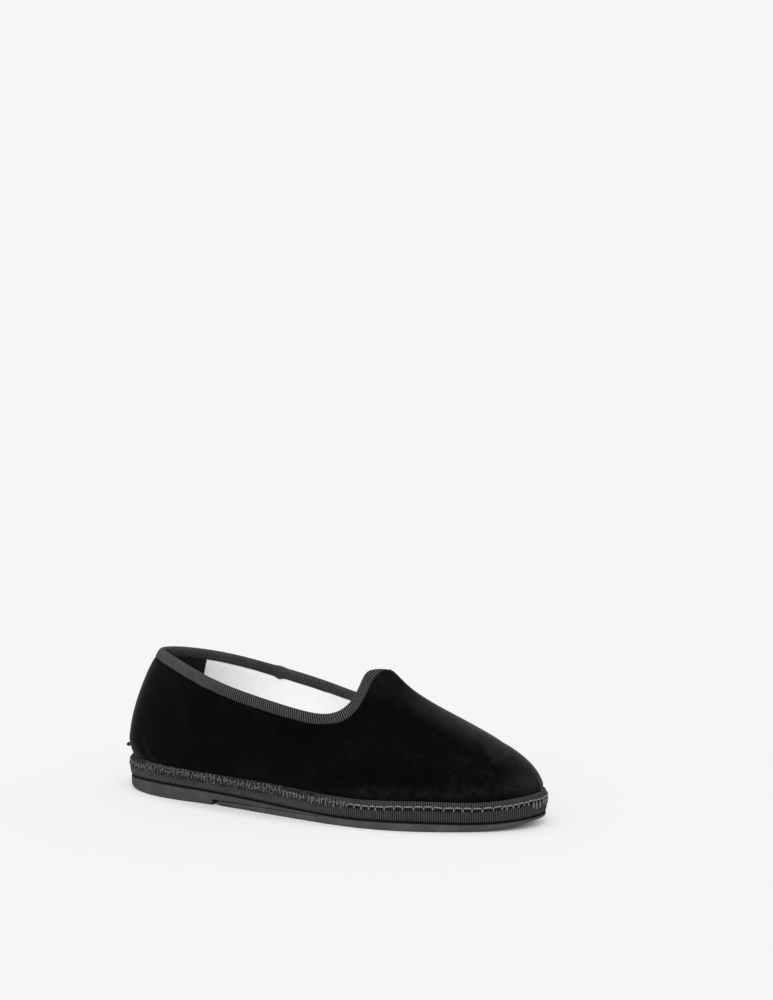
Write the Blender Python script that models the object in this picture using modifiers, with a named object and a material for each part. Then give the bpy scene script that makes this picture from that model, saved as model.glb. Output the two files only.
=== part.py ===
"""A velvet friulane slipper, right shoe, standing empty on its sole.

Units are metres. Shapes are drawn in the shoe's own frame, with X from the back of the heel to the toe,
Y to the wearer's left and Z up from the floor. An empty then carries them, so that the shoe's frame has
its origin under the middle of its bounding box.

The upper is a family of ribs. Each rib is one curve that rises from the sole's edge to the topline.
Ribs are numbered round the shoe: 0 at the heel, up the outer (right) side to 12 at the toe, and back
along the inner (left) side to 24, which is the heel again.
"""

from typing import NamedTuple

import bmesh
import bpy
import numpy as np

MM = 0.001

# Driving dimensions
LENGTH = 255 * MM
BALL_WIDTH = 88 * MM
HEEL_HEIGHT = 81 * MM
INSTEP_HEIGHT = 81 * MM

# Upper and its ribbons
WALL = 2.0 * MM
EDGE_WALL = 1.0 * MM
BINDING_WIDTH = 5.8 * MM
BINDING_THICKNESS = 0.7 * MM
BINDING_ROUNDING = 0.8
BAND_THICKNESS = 2.2 * MM
BAND_BULGE = 0.9 * MM
GAP = 0.3 * MM
EDGE_TUCK = 0.3 * MM

# Sole
INSOLE_THICKNESS = 4.5 * MM
SOLE_INSET = 0.8 * MM
SOLE_CHAMFER = 0.9 * MM
THIN_CHAMFER = 0.3
BREAST_X = 66 * MM
TREAD_BACK_X = 72 * MM
WEDGE_END_X = 138 * MM
WEDGE_BACK_Z = 3.4 * MM
WEDGE_END_Z = 4.5 * MM
ARCH_RISE = 0.8 * MM
ARCH_END_X = 150 * MM
TOE_BREAK_X = 215 * MM
TOE_SPRING = 4.5 * MM

# Fineness of the facets
RIBS = 24
STEPS_PER_RIB = 3
BODY_ROWS = 12
RIB_SAMPLES = 48
RIB_NUDGE = 0.01
WELD = 0.001 * MM
COLLECTION = "friulane"


class Outline(NamedTuple):
    """Half breadths of the band's outer face, in shares of the ball width."""

    outer: float
    inner: float


class Rim(NamedTuple):
    """A point of the topline: x in shares of the length, half breadths in shares of the ball width."""

    x: float
    outer: float
    inner: float
    z: float


class Bend(NamedTuple):
    """The two handles of a rib's curve.

    The lower one stands over the foot by foot_rise and leans out by foot_swell. The upper one hangs under
    the rim by rim_drop, leans out by rim_swell and goes a share of the way back to the foot, its reach.
    Rise and drop are in shares of the instep height, and swells in shares of the ball width.
    """

    foot_rise: float
    foot_swell: float
    rim_drop: float
    rim_swell: float
    reach: float


class Level(NamedTuple):
    """Heights of the sole's top and of the band's top along the shoe, in shares of the heel height."""

    x: float
    sole: float
    band: float


class BandEdge(NamedTuple):
    """A corner of the band's section: its share of the band's height and its inset from the outer face."""

    height: float
    inset: float


class Finish(NamedTuple):
    """Look of one sub-part."""

    color: tuple
    roughness: float


# Ribs 0 to 12, heel to toe
OUTLINE = (
    Outline(outer=0.000, inner=0.000),
    Outline(outer=0.189, inner=0.170),
    Outline(outer=0.291, inner=0.301),
    Outline(outer=0.356, inner=0.352),
    Outline(outer=0.380, inner=0.358),
    Outline(outer=0.428, inner=0.358),
    Outline(outer=0.485, inner=0.392),
    Outline(outer=0.521, inner=0.449),
    Outline(outer=0.473, inner=0.483),
    Outline(outer=0.354, inner=0.449),
    Outline(outer=0.230, inner=0.352),
    Outline(outer=0.080, inner=0.210),
    Outline(outer=-0.068, inner=0.068),
)

# Ribs 0 to 6, round the collar: z in shares of the heel height
COLLAR = (
    Rim(x=0.065, outer=0.000, inner=0.000, z=0.998),
    Rim(x=0.082, outer=0.080, inner=0.080, z=0.995),
    Rim(x=0.128, outer=0.175, inner=0.175, z=0.975),
    Rim(x=0.198, outer=0.288, inner=0.277, z=0.930),
    Rim(x=0.286, outer=0.376, inner=0.342, z=0.866),
    Rim(x=0.383, outer=0.407, inner=0.361, z=0.803),
    Rim(x=0.471, outer=0.390, inner=0.345, z=0.745),
)

# Ribs 7 to 12, up the throat to its peak: z in shares of the instep height
THROAT = (
    Rim(x=0.537, outer=0.336, inner=0.306, z=0.719),
    Rim(x=0.575, outer=0.255, inner=0.248, z=0.772),
    Rim(x=0.590, outer=0.166, inner=0.182, z=0.882),
    Rim(x=0.597, outer=0.093, inner=0.118, z=0.975),
    Rim(x=0.612, outer=0.033, inner=0.068, z=0.995),
    Rim(x=0.622, outer=-0.023, inner=0.023, z=0.990),
)

# Every second rib, 0 to 12
BENDS = (
    Bend(foot_rise=0.129, foot_swell=0.083, rim_drop=0.216, rim_swell=0.080, reach=0.317),
    Bend(foot_rise=0.173, foot_swell=0.068, rim_drop=0.209, rim_swell=0.054, reach=0.312),
    Bend(foot_rise=0.210, foot_swell=0.053, rim_drop=0.194, rim_swell=0.032, reach=0.310),
    Bend(foot_rise=0.244, foot_swell=0.036, rim_drop=0.199, rim_swell=0.014, reach=0.311),
    Bend(foot_rise=0.280, foot_swell=0.015, rim_drop=0.247, rim_swell=0.002, reach=0.322),
    Bend(foot_rise=0.313, foot_swell=-0.014, rim_drop=0.339, rim_swell=-0.003, reach=0.357),
    Bend(foot_rise=0.327, foot_swell=-0.051, rim_drop=0.402, rim_swell=0.001, reach=0.434),
)

LEVELS = (
    Level(x=0.000, sole=0.114, band=0.249),
    Level(x=0.118, sole=0.119, band=0.244),
    Level(x=0.235, sole=0.103, band=0.232),
    Level(x=0.373, sole=0.084, band=0.229),
    Level(x=0.510, sole=0.067, band=0.216),
    Level(x=0.647, sole=0.062, band=0.209),
    Level(x=0.784, sole=0.065, band=0.220),
    Level(x=0.902, sole=0.060, band=0.218),
    Level(x=1.000, sole=0.082, band=0.246),
)

BAND_SECTION = (
    BandEdge(height=0.00, inset=BAND_THICKNESS),
    BandEdge(height=0.00, inset=BAND_BULGE),
    BandEdge(height=0.22, inset=0.3 * BAND_BULGE),
    BandEdge(height=0.50, inset=0.0),
    BandEdge(height=0.78, inset=0.3 * BAND_BULGE),
    BandEdge(height=1.00, inset=BAND_BULGE),
    BandEdge(height=1.00, inset=BAND_THICKNESS),
)

FINISHES = {
    "upper": Finish(color=(0.012, 0.012, 0.013, 1.0), roughness=0.95),
    "collar_binding": Finish(color=(0.030, 0.031, 0.034, 1.0), roughness=0.80),
    "sole_band": Finish(color=(0.028, 0.029, 0.032, 1.0), roughness=0.80),
    "insole": Finish(color=(0.800, 0.790, 0.760, 1.0), roughness=0.90),
    "heel": Finish(color=(0.072, 0.060, 0.056, 1.0), roughness=0.75),
    "outsole": Finish(color=(0.045, 0.045, 0.045, 1.0), roughness=0.70),
}


def clear_scene():
    """Remove the objects that the file starts with."""
    for obj in list(bpy.data.objects):
        bpy.data.objects.remove(obj, do_unlink=True)


def closed_curve(rows, at):
    """Points of the smooth closed curve through the rows, at fractional row numbers."""
    count = len(rows)
    unit = np.eye(count)
    system = 4 * unit + np.roll(unit, 1, axis=0) + np.roll(unit, -1, axis=0)
    curving = np.roll(rows, 1, axis=0) - 2 * rows + np.roll(rows, -1, axis=0)
    moments = np.linalg.solve(system, 6 * curving)
    start = np.floor(at).astype(int) % count
    end = (start + 1) % count
    late = (at - np.floor(at))[:, None]
    early = 1 - late
    straight = early * rows[start] + late * rows[end]
    return straight + ((early**3 - early) * moments[start] + (late**3 - late) * moments[end]) / 6


def open_curve(places, values, at):
    """Values of the smooth curve through (places, values), with straight ends."""
    spans = np.diff(places)
    slopes = np.diff(values) / spans
    system = np.eye(len(places))
    target = np.zeros(len(places))
    for knot in range(1, len(places) - 1):
        before, after = spans[knot - 1], spans[knot]
        system[knot, knot - 1 : knot + 2] = before, 2 * (before + after), after
        target[knot] = 6 * (slopes[knot] - slopes[knot - 1])
    moments = np.linalg.solve(system, target)
    span = np.clip(np.searchsorted(places, at) - 1, 0, len(spans) - 1)
    late = (at - places[span]) / spans[span]
    early = 1 - late
    straight = early * values[span] + late * values[span + 1]
    bend = (early**3 - early) * moments[span] + (late**3 - late) * moments[span + 1]
    return straight + bend * spans[span] ** 2 / 6


def round_the_shoe(outer, inner):
    """Row values for all ribs: the outer side from heel to toe, then the inner side back."""
    return np.concatenate([outer, inner[-2:0:-1]])


def level(column, x):
    """Height of the sole's or the band's top at x."""
    places = np.array([row.x for row in LEVELS]) * LENGTH
    heights = np.array([getattr(row, column) for row in LEVELS]) * HEEL_HEIGHT
    return open_curve(places, heights, x)


def outline_points(ribs):
    """Plan points of the band's outer face at the given rib numbers."""
    outer = np.array([[-row.outer] for row in OUTLINE])
    inner = np.array([[row.inner] for row in OUTLINE])
    y = closed_curve(round_the_shoe(outer, inner) * BALL_WIDTH, ribs)[:, 0]
    x = LENGTH / 2 * (1 - np.cos(2 * np.pi * ribs / RIBS))
    return np.column_stack([x, y])


def outline(ribs, inset):
    """Plan points moved in from the band's outer face, and the outward directions there."""
    along = outline_points(ribs + RIB_NUDGE) - outline_points(ribs - RIB_NUDGE)
    outward = np.column_stack([along[:, 1], -along[:, 0]])
    outward /= np.linalg.norm(outward, axis=1)[:, None]
    return outline_points(ribs) - outward * inset, outward


def rib_of(x):
    """Rib number, from heel to toe, where the outline passes x."""
    return RIBS / 2 * np.arccos(1 - 2 * x / LENGTH) / np.pi


def rim_points(ribs):
    """Points of the upper's edge."""
    outer, inner = [], []
    for rows, height in ((COLLAR, HEEL_HEIGHT), (THROAT, INSTEP_HEIGHT)):
        for row in rows:
            outer.append((row.x * LENGTH, -row.outer * BALL_WIDTH, row.z * height))
            inner.append((row.x * LENGTH, row.inner * BALL_WIDTH, row.z * height))
    return closed_curve(round_the_shoe(np.array(outer), np.array(inner)), ribs)


def rib_curves(ribs):
    """Outer face of the upper: RIB_SAMPLES + 1 points along each rib, from the band's top to the rim."""
    plan, outward = outline(ribs, BAND_THICKNESS + GAP)
    foot = np.column_stack([plan, level("band", plan[:, 0]) - EDGE_TUCK])
    rim = rim_points(ribs)
    outward = np.column_stack([outward, np.zeros(len(ribs))])
    up = np.array([0.0, 0.0, 1.0])
    bends = np.array(BENDS)
    rows = round_the_shoe(bends, bends)
    rise, foot_swell, drop, rim_swell, reach = closed_curve(rows, ribs / 2).T[:, :, None]
    low = foot + rise * INSTEP_HEIGHT * up + foot_swell * BALL_WIDTH * outward
    spread = (foot - rim) * (1 - up)
    high = rim - drop * INSTEP_HEIGHT * up + rim_swell * BALL_WIDTH * outward + reach * spread
    late = np.linspace(0, 1, RIB_SAMPLES + 1)[:, None, None]
    early = 1 - late
    return early**3 * foot + 3 * early**2 * late * low + 3 * early * late**2 * high + late**3 * rim


def rib_lengths(curves):
    """Length along each rib, from its foot, at each of its points."""
    pieces = np.linalg.norm(np.diff(curves, axis=0), axis=2)
    return np.vstack([np.zeros(curves.shape[1]), np.cumsum(pieces, axis=0)])


def along_ribs(curves, lengths):
    """One point on each rib for each row of lengths, measured from the rib's foot."""
    measured = rib_lengths(curves)
    points = np.empty((len(lengths), curves.shape[1], 3))
    for rib in range(curves.shape[1]):
        for axis in range(3):
            points[:, rib, axis] = np.interp(lengths[:, rib], measured[:, rib], curves[:, rib, axis])
    return points


def surface_normals(points):
    """Outward directions of a surface given as rows of closed rings."""
    around = np.roll(points, -1, axis=1) - np.roll(points, 1, axis=1)
    upward = np.gradient(points, axis=0)
    normals = np.cross(around, upward)
    return normals / np.linalg.norm(normals, axis=2, keepdims=True)


def loop_ribs():
    """Rib numbers of the facets round the shoe."""
    return np.arange(RIBS * STEPS_PER_RIB) / STEPS_PER_RIB


def closed(points, axis):
    """The same points with the first row or column repeated at the end."""
    return np.concatenate([points, points.take([0], axis=axis)], axis=axis)


def grid_mesh(points, weights=None):
    """A grid bent through rows of points, welded where they meet; weights go to the first vertex group."""
    rows, columns = points.shape[:2]
    mesh = bmesh.new()
    bmesh.ops.create_grid(mesh, x_segments=columns - 1, y_segments=rows - 1, size=0.5)
    group = mesh.verts.layers.deform.verify()
    for vertex in mesh.verts:
        column = round((vertex.co.x + 0.5) * (columns - 1))
        row = round((vertex.co.y + 0.5) * (rows - 1))
        vertex.co = points[row, column]
        if weights is not None:
            vertex[group][0] = weights[row]
    bmesh.ops.remove_doubles(mesh, verts=mesh.verts, dist=WELD)
    return mesh


def close_ends(mesh):
    """Fill the open ends of a loft and turn its faces outward."""
    bmesh.ops.holes_fill(mesh, edges=[edge for edge in mesh.edges if edge.is_boundary])
    bmesh.ops.recalc_face_normals(mesh, faces=mesh.faces)


def material(name):
    """Principled material of one sub-part."""
    finish = FINISHES[name]
    made = bpy.data.materials.new(name)
    made.use_nodes = True
    shader = made.node_tree.nodes["Principled BSDF"]
    shader.inputs["Base Color"].default_value = finish.color
    shader.inputs["Roughness"].default_value = finish.roughness
    shader.inputs["Metallic"].default_value = 0.0
    return made


def add_object(name, mesh, collection, parent):
    """Turn a bmesh into a named object with its material, carried by the shoe's empty."""
    data = bpy.data.meshes.new(name)
    mesh.to_mesh(data)
    mesh.free()
    data.shade_smooth()
    data.materials.append(material(name))
    obj = bpy.data.objects.new(name, data)
    collection.objects.link(obj)
    obj.parent = parent
    return obj


def upper_middle(curves):
    """Rows of points halfway through the upper's wall, and each row's share of the full thickness."""
    total = rib_lengths(curves)[-1]
    body = np.linspace(0, 1, BODY_ROWS + 1)[:, None] * (total - BINDING_WIDTH - GAP)
    edge = total - np.array([BINDING_WIDTH, BINDING_WIDTH / 2, 0.0])[:, None]
    outer = along_ribs(curves, np.vstack([body, edge]))
    bottom = outer[:1].copy()
    bottom[0, :, 2] = level("sole", bottom[0, :, 0]) + GAP
    outer = np.concatenate([bottom, outer])
    weights = [1.0] * (len(bottom) + len(body)) + [0.0] * len(edge)
    return outer - surface_normals(outer) * WALL / 2, weights


def build_upper(curves, collection, parent):
    """The velvet upper: one open surface with a wall that is thinner under the binding."""
    middle, weights = upper_middle(curves)
    upper = add_object("upper", grid_mesh(closed(middle, 1), weights), collection, parent)
    wall = upper.vertex_groups.new(name="wall")
    shell = upper.modifiers.new("wall", "SOLIDIFY")
    shell.thickness = WALL
    shell.offset = 0.0
    shell.vertex_group = wall.name
    shell.thickness_vertex_group = EDGE_WALL / WALL
    shell.use_quality_normals = True


def build_binding(curves, collection, parent):
    """The ribbon folded over the upper's edge."""
    total = rib_lengths(curves)[-1]
    back = np.array([BINDING_WIDTH, BINDING_WIDTH / 2, 0.0])
    low, middle, edge = along_ribs(curves, total - back[:, None])
    low_out, middle_out, edge_out = surface_normals(np.stack([low, middle, edge]))
    on = (edge - middle) / np.linalg.norm(edge - middle, axis=1)[:, None]
    near = (EDGE_WALL - WALL) / 2 + GAP
    far = -(WALL + EDGE_WALL) / 2 - GAP
    outside = near + BINDING_THICKNESS
    inside = far - BINDING_THICKNESS
    over = GAP + BINDING_THICKNESS
    soft = BINDING_ROUNDING * BINDING_THICKNESS
    section = [
        low + low_out * outside,
        middle + middle_out * outside,
        edge + edge_out * outside + on * (over - soft),
        edge + edge_out * (outside - soft) + on * over,
        edge + edge_out * (inside + soft) + on * over,
        edge + edge_out * inside + on * (over - soft),
        middle + middle_out * inside,
        low + low_out * inside,
        low + low_out * far,
        middle + middle_out * far,
        edge + edge_out * far + on * GAP,
        edge + edge_out * near + on * GAP,
        middle + middle_out * near,
        low + low_out * near,
    ]
    mesh = grid_mesh(closed(closed(np.stack(section), 0), 1))
    close_ends(mesh)
    add_object("collar_binding", mesh, collection, parent)


def build_band(collection, parent):
    """The ribbon round the sole's edge, bulged outward between its two edges."""
    ribs = loop_ribs()
    section = []
    for corner in BAND_SECTION:
        plan, _ = outline(ribs, corner.inset)
        bottom = level("sole", plan[:, 0]) + GAP
        top = level("band", plan[:, 0])
        section.append(np.column_stack([plan, bottom + corner.height * (top - bottom)]))
    mesh = grid_mesh(closed(closed(np.stack(section), 0), 1))
    close_ends(mesh)
    add_object("sole_band", mesh, collection, parent)


def sole_section(rib, bottom, top, inset, chamfer):
    """A closed section across the sole at one rib, with its corners taken off."""
    corner = min(chamfer, THIN_CHAMFER * (top - bottom))
    right = []
    left = []
    for more, z in ((corner, bottom), (0.0, bottom + corner), (0.0, top - corner), (corner, top)):
        plan, _ = outline(np.array([rib, RIBS - rib]), inset + more)
        right.append((*plan[0], z))
        left.append((*plan[1], z))
    return right + left[::-1]


def stations(start, end):
    """Rib numbers from x = start to x = end, at the facets round the shoe."""
    first, last = float(rib_of(start)), float(rib_of(end))
    between = [rib for rib in loop_ribs() if first < rib < last]
    return [first, *between, last]


def wedge_bottom(x):
    """Underside of the thin wedge that runs forward from the heel."""
    return WEDGE_BACK_Z + (WEDGE_END_Z - WEDGE_BACK_Z) * (x - BREAST_X) / (WEDGE_END_X - BREAST_X)


def tread_bottom(x):
    """Underside of the tread sheet: arch, flat ball and toe spring."""
    arch = max(0.0, (ARCH_END_X - x) / (ARCH_END_X - TREAD_BACK_X))
    toe = max(0.0, (x - TOE_BREAK_X) / (LENGTH - TOE_BREAK_X))
    return ARCH_RISE * arch**2 + TOE_SPRING * toe**2


def loft(name, sections, collection, parent):
    """A solid through closed sections from back to front."""
    mesh = grid_mesh(closed(np.array(sections), 1))
    close_ends(mesh)
    add_object(name, mesh, collection, parent)


def station_x(rib):
    """Distance of a rib's station from the back of the heel."""
    return outline_points(np.array([rib]))[0, 0]


def sole_top(x):
    """Height of the sole's top at x."""
    return float(level("sole", np.array([x]))[0])


def build_heel(collection, parent):
    """The heel block with its wedge: on the floor as far as the breast, then lifted over the tread sheet."""
    sections = []
    for rib in stations(0.0, BREAST_X):
        sections.append(sole_section(rib, 0.0, sole_top(station_x(rib)), SOLE_INSET, SOLE_CHAMFER))
    for rib in stations(BREAST_X, WEDGE_END_X):
        x = station_x(rib)
        sections.append(sole_section(rib, wedge_bottom(x), sole_top(x), SOLE_INSET, SOLE_CHAMFER))
    loft("heel", sections, collection, parent)


def build_outsole(collection, parent):
    """The tread sheet: under the wedge at the waist, then up to the band at the ball and toe."""
    step = WEDGE_END_X + GAP
    sections = []
    for rib in stations(TREAD_BACK_X, step):
        x = station_x(rib)
        sections.append(sole_section(rib, tread_bottom(x), wedge_bottom(x) - GAP, SOLE_INSET, SOLE_CHAMFER))
    for rib in stations(step, LENGTH):
        x = station_x(rib)
        sections.append(sole_section(rib, tread_bottom(x), sole_top(x), SOLE_INSET, SOLE_CHAMFER))
    loft("outsole", sections, collection, parent)


def build_insole(collection, parent):
    """The padded footbed inside the upper."""
    inset = BAND_THICKNESS + GAP + WALL + GAP
    sections = []
    for rib in stations(0.0, LENGTH):
        bottom = sole_top(station_x(rib)) + GAP
        sections.append(sole_section(rib, bottom, bottom + INSOLE_THICKNESS, inset, SOLE_CHAMFER))
    loft("insole", sections, collection, parent)


def centre_origin(collection, parent):
    """Move the shoe's empty so that the origin lies under the middle of the shoe."""
    bpy.context.view_layer.update()
    graph = bpy.context.evaluated_depsgraph_get()
    corners = []
    for obj in collection.objects:
        if obj.type == "MESH":
            corners.extend(tuple(corner) for corner in obj.evaluated_get(graph).bound_box)
    low, high = np.min(corners, axis=0), np.max(corners, axis=0)
    parent.location = (-(low[0] + high[0]) / 2, -(low[1] + high[1]) / 2, -low[2])


def main():
    """Build every sub-part."""
    clear_scene()
    collection = bpy.data.collections.new(COLLECTION)
    bpy.context.scene.collection.children.link(collection)
    parent = bpy.data.objects.new("friulane_frame", None)
    collection.objects.link(parent)
    curves = rib_curves(loop_ribs())
    build_upper(curves, collection, parent)
    build_binding(curves, collection, parent)
    build_band(collection, parent)
    build_insole(collection, parent)
    build_heel(collection, parent)
    build_outsole(collection, parent)
    centre_origin(collection, parent)


main()
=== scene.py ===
"""Looks of a velvet friulane slipper: a right shoe that stands empty on its sole.

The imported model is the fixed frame. Every piece is drawn in the shoe's own frame, with X from the back of
the heel to the toe, Y to the wearer's left and Z up from the floor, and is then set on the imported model.
Ribs are numbered round the shoe: 0 at the heel, up the outer side to 12 at the toe, and back along the
inner side to 24, which is the heel again. Lengths are in metres unless a name says otherwise.
"""

import logging
import math
from dataclasses import dataclass, replace
from enum import Enum
from typing import Any, Callable, NamedTuple, Optional, Protocol, Union

import bmesh
import bpy
import numpy as np
from mathutils import Euler, Matrix, Vector, noise


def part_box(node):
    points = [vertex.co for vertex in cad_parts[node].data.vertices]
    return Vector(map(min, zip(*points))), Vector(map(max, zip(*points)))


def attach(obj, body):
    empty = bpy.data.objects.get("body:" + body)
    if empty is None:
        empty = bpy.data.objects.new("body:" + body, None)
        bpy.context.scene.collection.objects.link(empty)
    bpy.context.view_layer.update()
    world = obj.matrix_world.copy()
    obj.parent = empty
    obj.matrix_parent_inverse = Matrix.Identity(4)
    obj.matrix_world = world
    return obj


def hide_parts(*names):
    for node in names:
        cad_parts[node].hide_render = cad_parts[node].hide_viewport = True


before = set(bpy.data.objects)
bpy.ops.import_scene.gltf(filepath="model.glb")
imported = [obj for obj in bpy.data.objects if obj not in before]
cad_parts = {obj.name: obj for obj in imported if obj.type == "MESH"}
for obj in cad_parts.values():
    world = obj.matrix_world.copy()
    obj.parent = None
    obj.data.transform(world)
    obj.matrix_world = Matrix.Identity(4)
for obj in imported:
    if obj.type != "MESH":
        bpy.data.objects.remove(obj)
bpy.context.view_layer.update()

log = logging.getLogger("friulane")

MM = 0.001
RIBS = 24
TURN = 2 * math.pi
BODY = "root"
WELD = 0.001 * MM
UV_MAP = "UVMap"
FINE_STITCH_ARCH = 0.22 * MM
FINE_STITCH_RADIUS = 0.2 * MM
FINE_STITCH_SIDES = 5

Points = np.ndarray
Amount = Union[float, Points]
Span = tuple[float, float]
Triple = tuple[float, float, float]
Color = tuple[float, float, float, float]
Mesh = bmesh.types.BMesh
Material = bpy.types.Material


class OutlineRow(NamedTuple):
    """Half breadths of the band's outer face, in shares of the ball width."""

    outer: float
    inner: float


class RimRow(NamedTuple):
    """A point of the topline: x in shares of the length, half breadths in shares of the ball width."""

    x: float
    outer: float
    inner: float
    z: float


class BendRow(NamedTuple):
    """The two handles of a rib's curve.

    The lower one stands over the foot by foot_rise and leans out by foot_swell. The upper one hangs under
    the rim by rim_drop, leans out by rim_swell and goes a share of the way back to the foot, its reach.
    Rise and drop are in shares of the instep height, and swells in shares of the ball width.
    """

    foot_rise: float
    foot_swell: float
    rim_drop: float
    rim_swell: float
    reach: float


class LevelRow(NamedTuple):
    """Heights of the sole's top and of the band's top along the shoe, in shares of the heel height."""

    x: float
    sole: float
    band: float


# Ribs 0 to 12, heel to toe
OUTLINE = (
    OutlineRow(0.000, 0.000),
    OutlineRow(0.189, 0.170),
    OutlineRow(0.291, 0.301),
    OutlineRow(0.356, 0.352),
    OutlineRow(0.380, 0.358),
    OutlineRow(0.428, 0.358),
    OutlineRow(0.485, 0.392),
    OutlineRow(0.521, 0.449),
    OutlineRow(0.473, 0.483),
    OutlineRow(0.354, 0.449),
    OutlineRow(0.230, 0.352),
    OutlineRow(0.080, 0.210),
    OutlineRow(-0.068, 0.068),
)

# Ribs 0 to 6, round the collar: z in shares of the heel height
COLLAR = (
    RimRow(0.065, 0.000, 0.000, 0.998),
    RimRow(0.082, 0.080, 0.080, 0.995),
    RimRow(0.128, 0.175, 0.175, 0.975),
    RimRow(0.198, 0.288, 0.277, 0.930),
    RimRow(0.286, 0.376, 0.342, 0.866),
    RimRow(0.383, 0.407, 0.361, 0.803),
    RimRow(0.471, 0.390, 0.345, 0.745),
)

# Ribs 7 to 12, up the throat to its peak: z in shares of the instep height
THROAT = (
    RimRow(0.537, 0.336, 0.306, 0.719),
    RimRow(0.575, 0.255, 0.248, 0.772),
    RimRow(0.590, 0.166, 0.182, 0.882),
    RimRow(0.597, 0.093, 0.118, 0.975),
    RimRow(0.612, 0.033, 0.068, 0.995),
    RimRow(0.622, -0.023, 0.023, 0.990),
)

# Every second rib, 0 to 12
BENDS = (
    BendRow(0.129, 0.083, 0.216, 0.080, 0.317),
    BendRow(0.173, 0.068, 0.209, 0.054, 0.312),
    BendRow(0.210, 0.053, 0.194, 0.032, 0.310),
    BendRow(0.244, 0.036, 0.199, 0.014, 0.311),
    BendRow(0.280, 0.015, 0.247, 0.002, 0.322),
    BendRow(0.313, -0.014, 0.339, -0.003, 0.357),
    BendRow(0.327, -0.051, 0.402, 0.001, 0.434),
)

LEVELS = (
    LevelRow(0.000, 0.098, 0.241),
    LevelRow(0.118, 0.107, 0.236),
    LevelRow(0.235, 0.098, 0.222),
    LevelRow(0.373, 0.084, 0.219),
    LevelRow(0.510, 0.067, 0.208),
    LevelRow(0.647, 0.062, 0.199),
    LevelRow(0.784, 0.065, 0.210),
    LevelRow(0.902, 0.060, 0.205),
    LevelRow(1.000, 0.082, 0.238),
)


def closed_curve(rows: Points, at: Points) -> Points:
    """Smooth closed curve through rows of values.

    Args:
        rows: Values to pass through, shaped (count, width).
        at: Fractional row numbers.

    Returns:
        The curve's values, shaped (len(at), width).
    """
    count = len(rows)
    diagonal = np.eye(count)
    system = 4 * diagonal + np.roll(diagonal, 1, axis=0) + np.roll(diagonal, -1, axis=0)
    curving = np.roll(rows, 1, axis=0) - 2 * rows + np.roll(rows, -1, axis=0)
    moments = np.linalg.solve(system, 6 * curving)
    start = np.floor(at).astype(int) % count
    end = (start + 1) % count
    late = (at - np.floor(at))[:, None]
    early = 1 - late
    straight = early * rows[start] + late * rows[end]
    return straight + ((early**3 - early) * moments[start] + (late**3 - late) * moments[end]) / 6


def open_curve(places: Points, values: Points, at: Points) -> Points:
    """Smooth curve with straight ends through values at given places.

    Args:
        places: Rising places of the values.
        values: Values to pass through.
        at: Places to read.

    Returns:
        The curve's values at those places.
    """
    spans = np.diff(places)
    slopes = np.diff(values) / spans
    system = np.eye(len(places))
    target = np.zeros(len(places))
    for knot in range(1, len(places) - 1):
        before, after = spans[knot - 1], spans[knot]
        system[knot, knot - 1 : knot + 2] = before, 2 * (before + after), after
        target[knot] = 6 * (slopes[knot] - slopes[knot - 1])
    moments = np.linalg.solve(system, target)
    span = np.clip(np.searchsorted(places, at) - 1, 0, len(spans) - 1)
    late = (at - places[span]) / spans[span]
    early = 1 - late
    straight = early * values[span] + late * values[span + 1]
    bend = (early**3 - early) * moments[span] + (late**3 - late) * moments[span + 1]
    return straight + bend * spans[span] ** 2 / 6


def smooth_step(low: Amount, high: Amount, value: Points) -> Points:
    """Soft step of a value from 0 at low to 1 at high, which may be the smaller of the two."""
    share = np.clip((value - low) / (high - low), 0, 1)
    return share * share * (3 - 2 * share)


def closed(points: Points, axis: int) -> Points:
    """The same points with the first row or column repeated at the end."""
    return np.concatenate([points, points.take([0], axis=axis)], axis=axis)


def wrapped(points: Points) -> Points:
    """The same points with the first row and the first column repeated at the end."""
    return closed(closed(points, 0), 1)


def distances(points: Points) -> Points:
    """Distances along lines from their first points, with a line's points along the first axis."""
    steps = np.linalg.norm(np.diff(points, axis=0), axis=-1)
    return np.concatenate([np.zeros_like(steps[:1]), np.cumsum(steps, axis=0)])


def bell(value: Points, middle: float, breadth: float) -> Points:
    """Soft bump that is 1 at its middle and fades over its breadth."""
    return np.exp(-(((value - middle) / breadth) ** 2))


def arch(count: int) -> Points:
    """Half a wave in so many values, from 0 up to 1 and back."""
    return np.sin(np.pi * np.linspace(0, 1, count))


def chart_of(columns: Points, rows: Points) -> Points:
    """UV map of a grid from a value for each column and one for each row."""
    return np.stack(np.broadcast_arrays(columns[None, :], rows[:, None]), axis=2)


def ribbon_chart(numbers: Points, across: Points, count: int) -> Points:
    """UV map of a ribbon that closes on itself.

    Args:
        numbers: Number of ribs up to each column.
        across: Distance across the ribbon at each row.
        count: Number of ribs in all.

    Returns:
        The map, with a row and a column more than are given.
    """
    chart = wrapped(chart_of(numbers, across))
    chart[:, -1, 0] = count
    return chart


def unit(vectors: Points) -> Points:
    """Vectors along the last axis, made one long."""
    return vectors / np.linalg.norm(vectors, axis=-1, keepdims=True)


def surface_normals(points: Points) -> Points:
    """Outward directions of a surface that is given as rows of closed rings, (rows, columns, 3)."""
    around = np.roll(points, -1, axis=1) - np.roll(points, 1, axis=1)
    return unit(np.cross(around, np.gradient(points, axis=0)))


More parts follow.
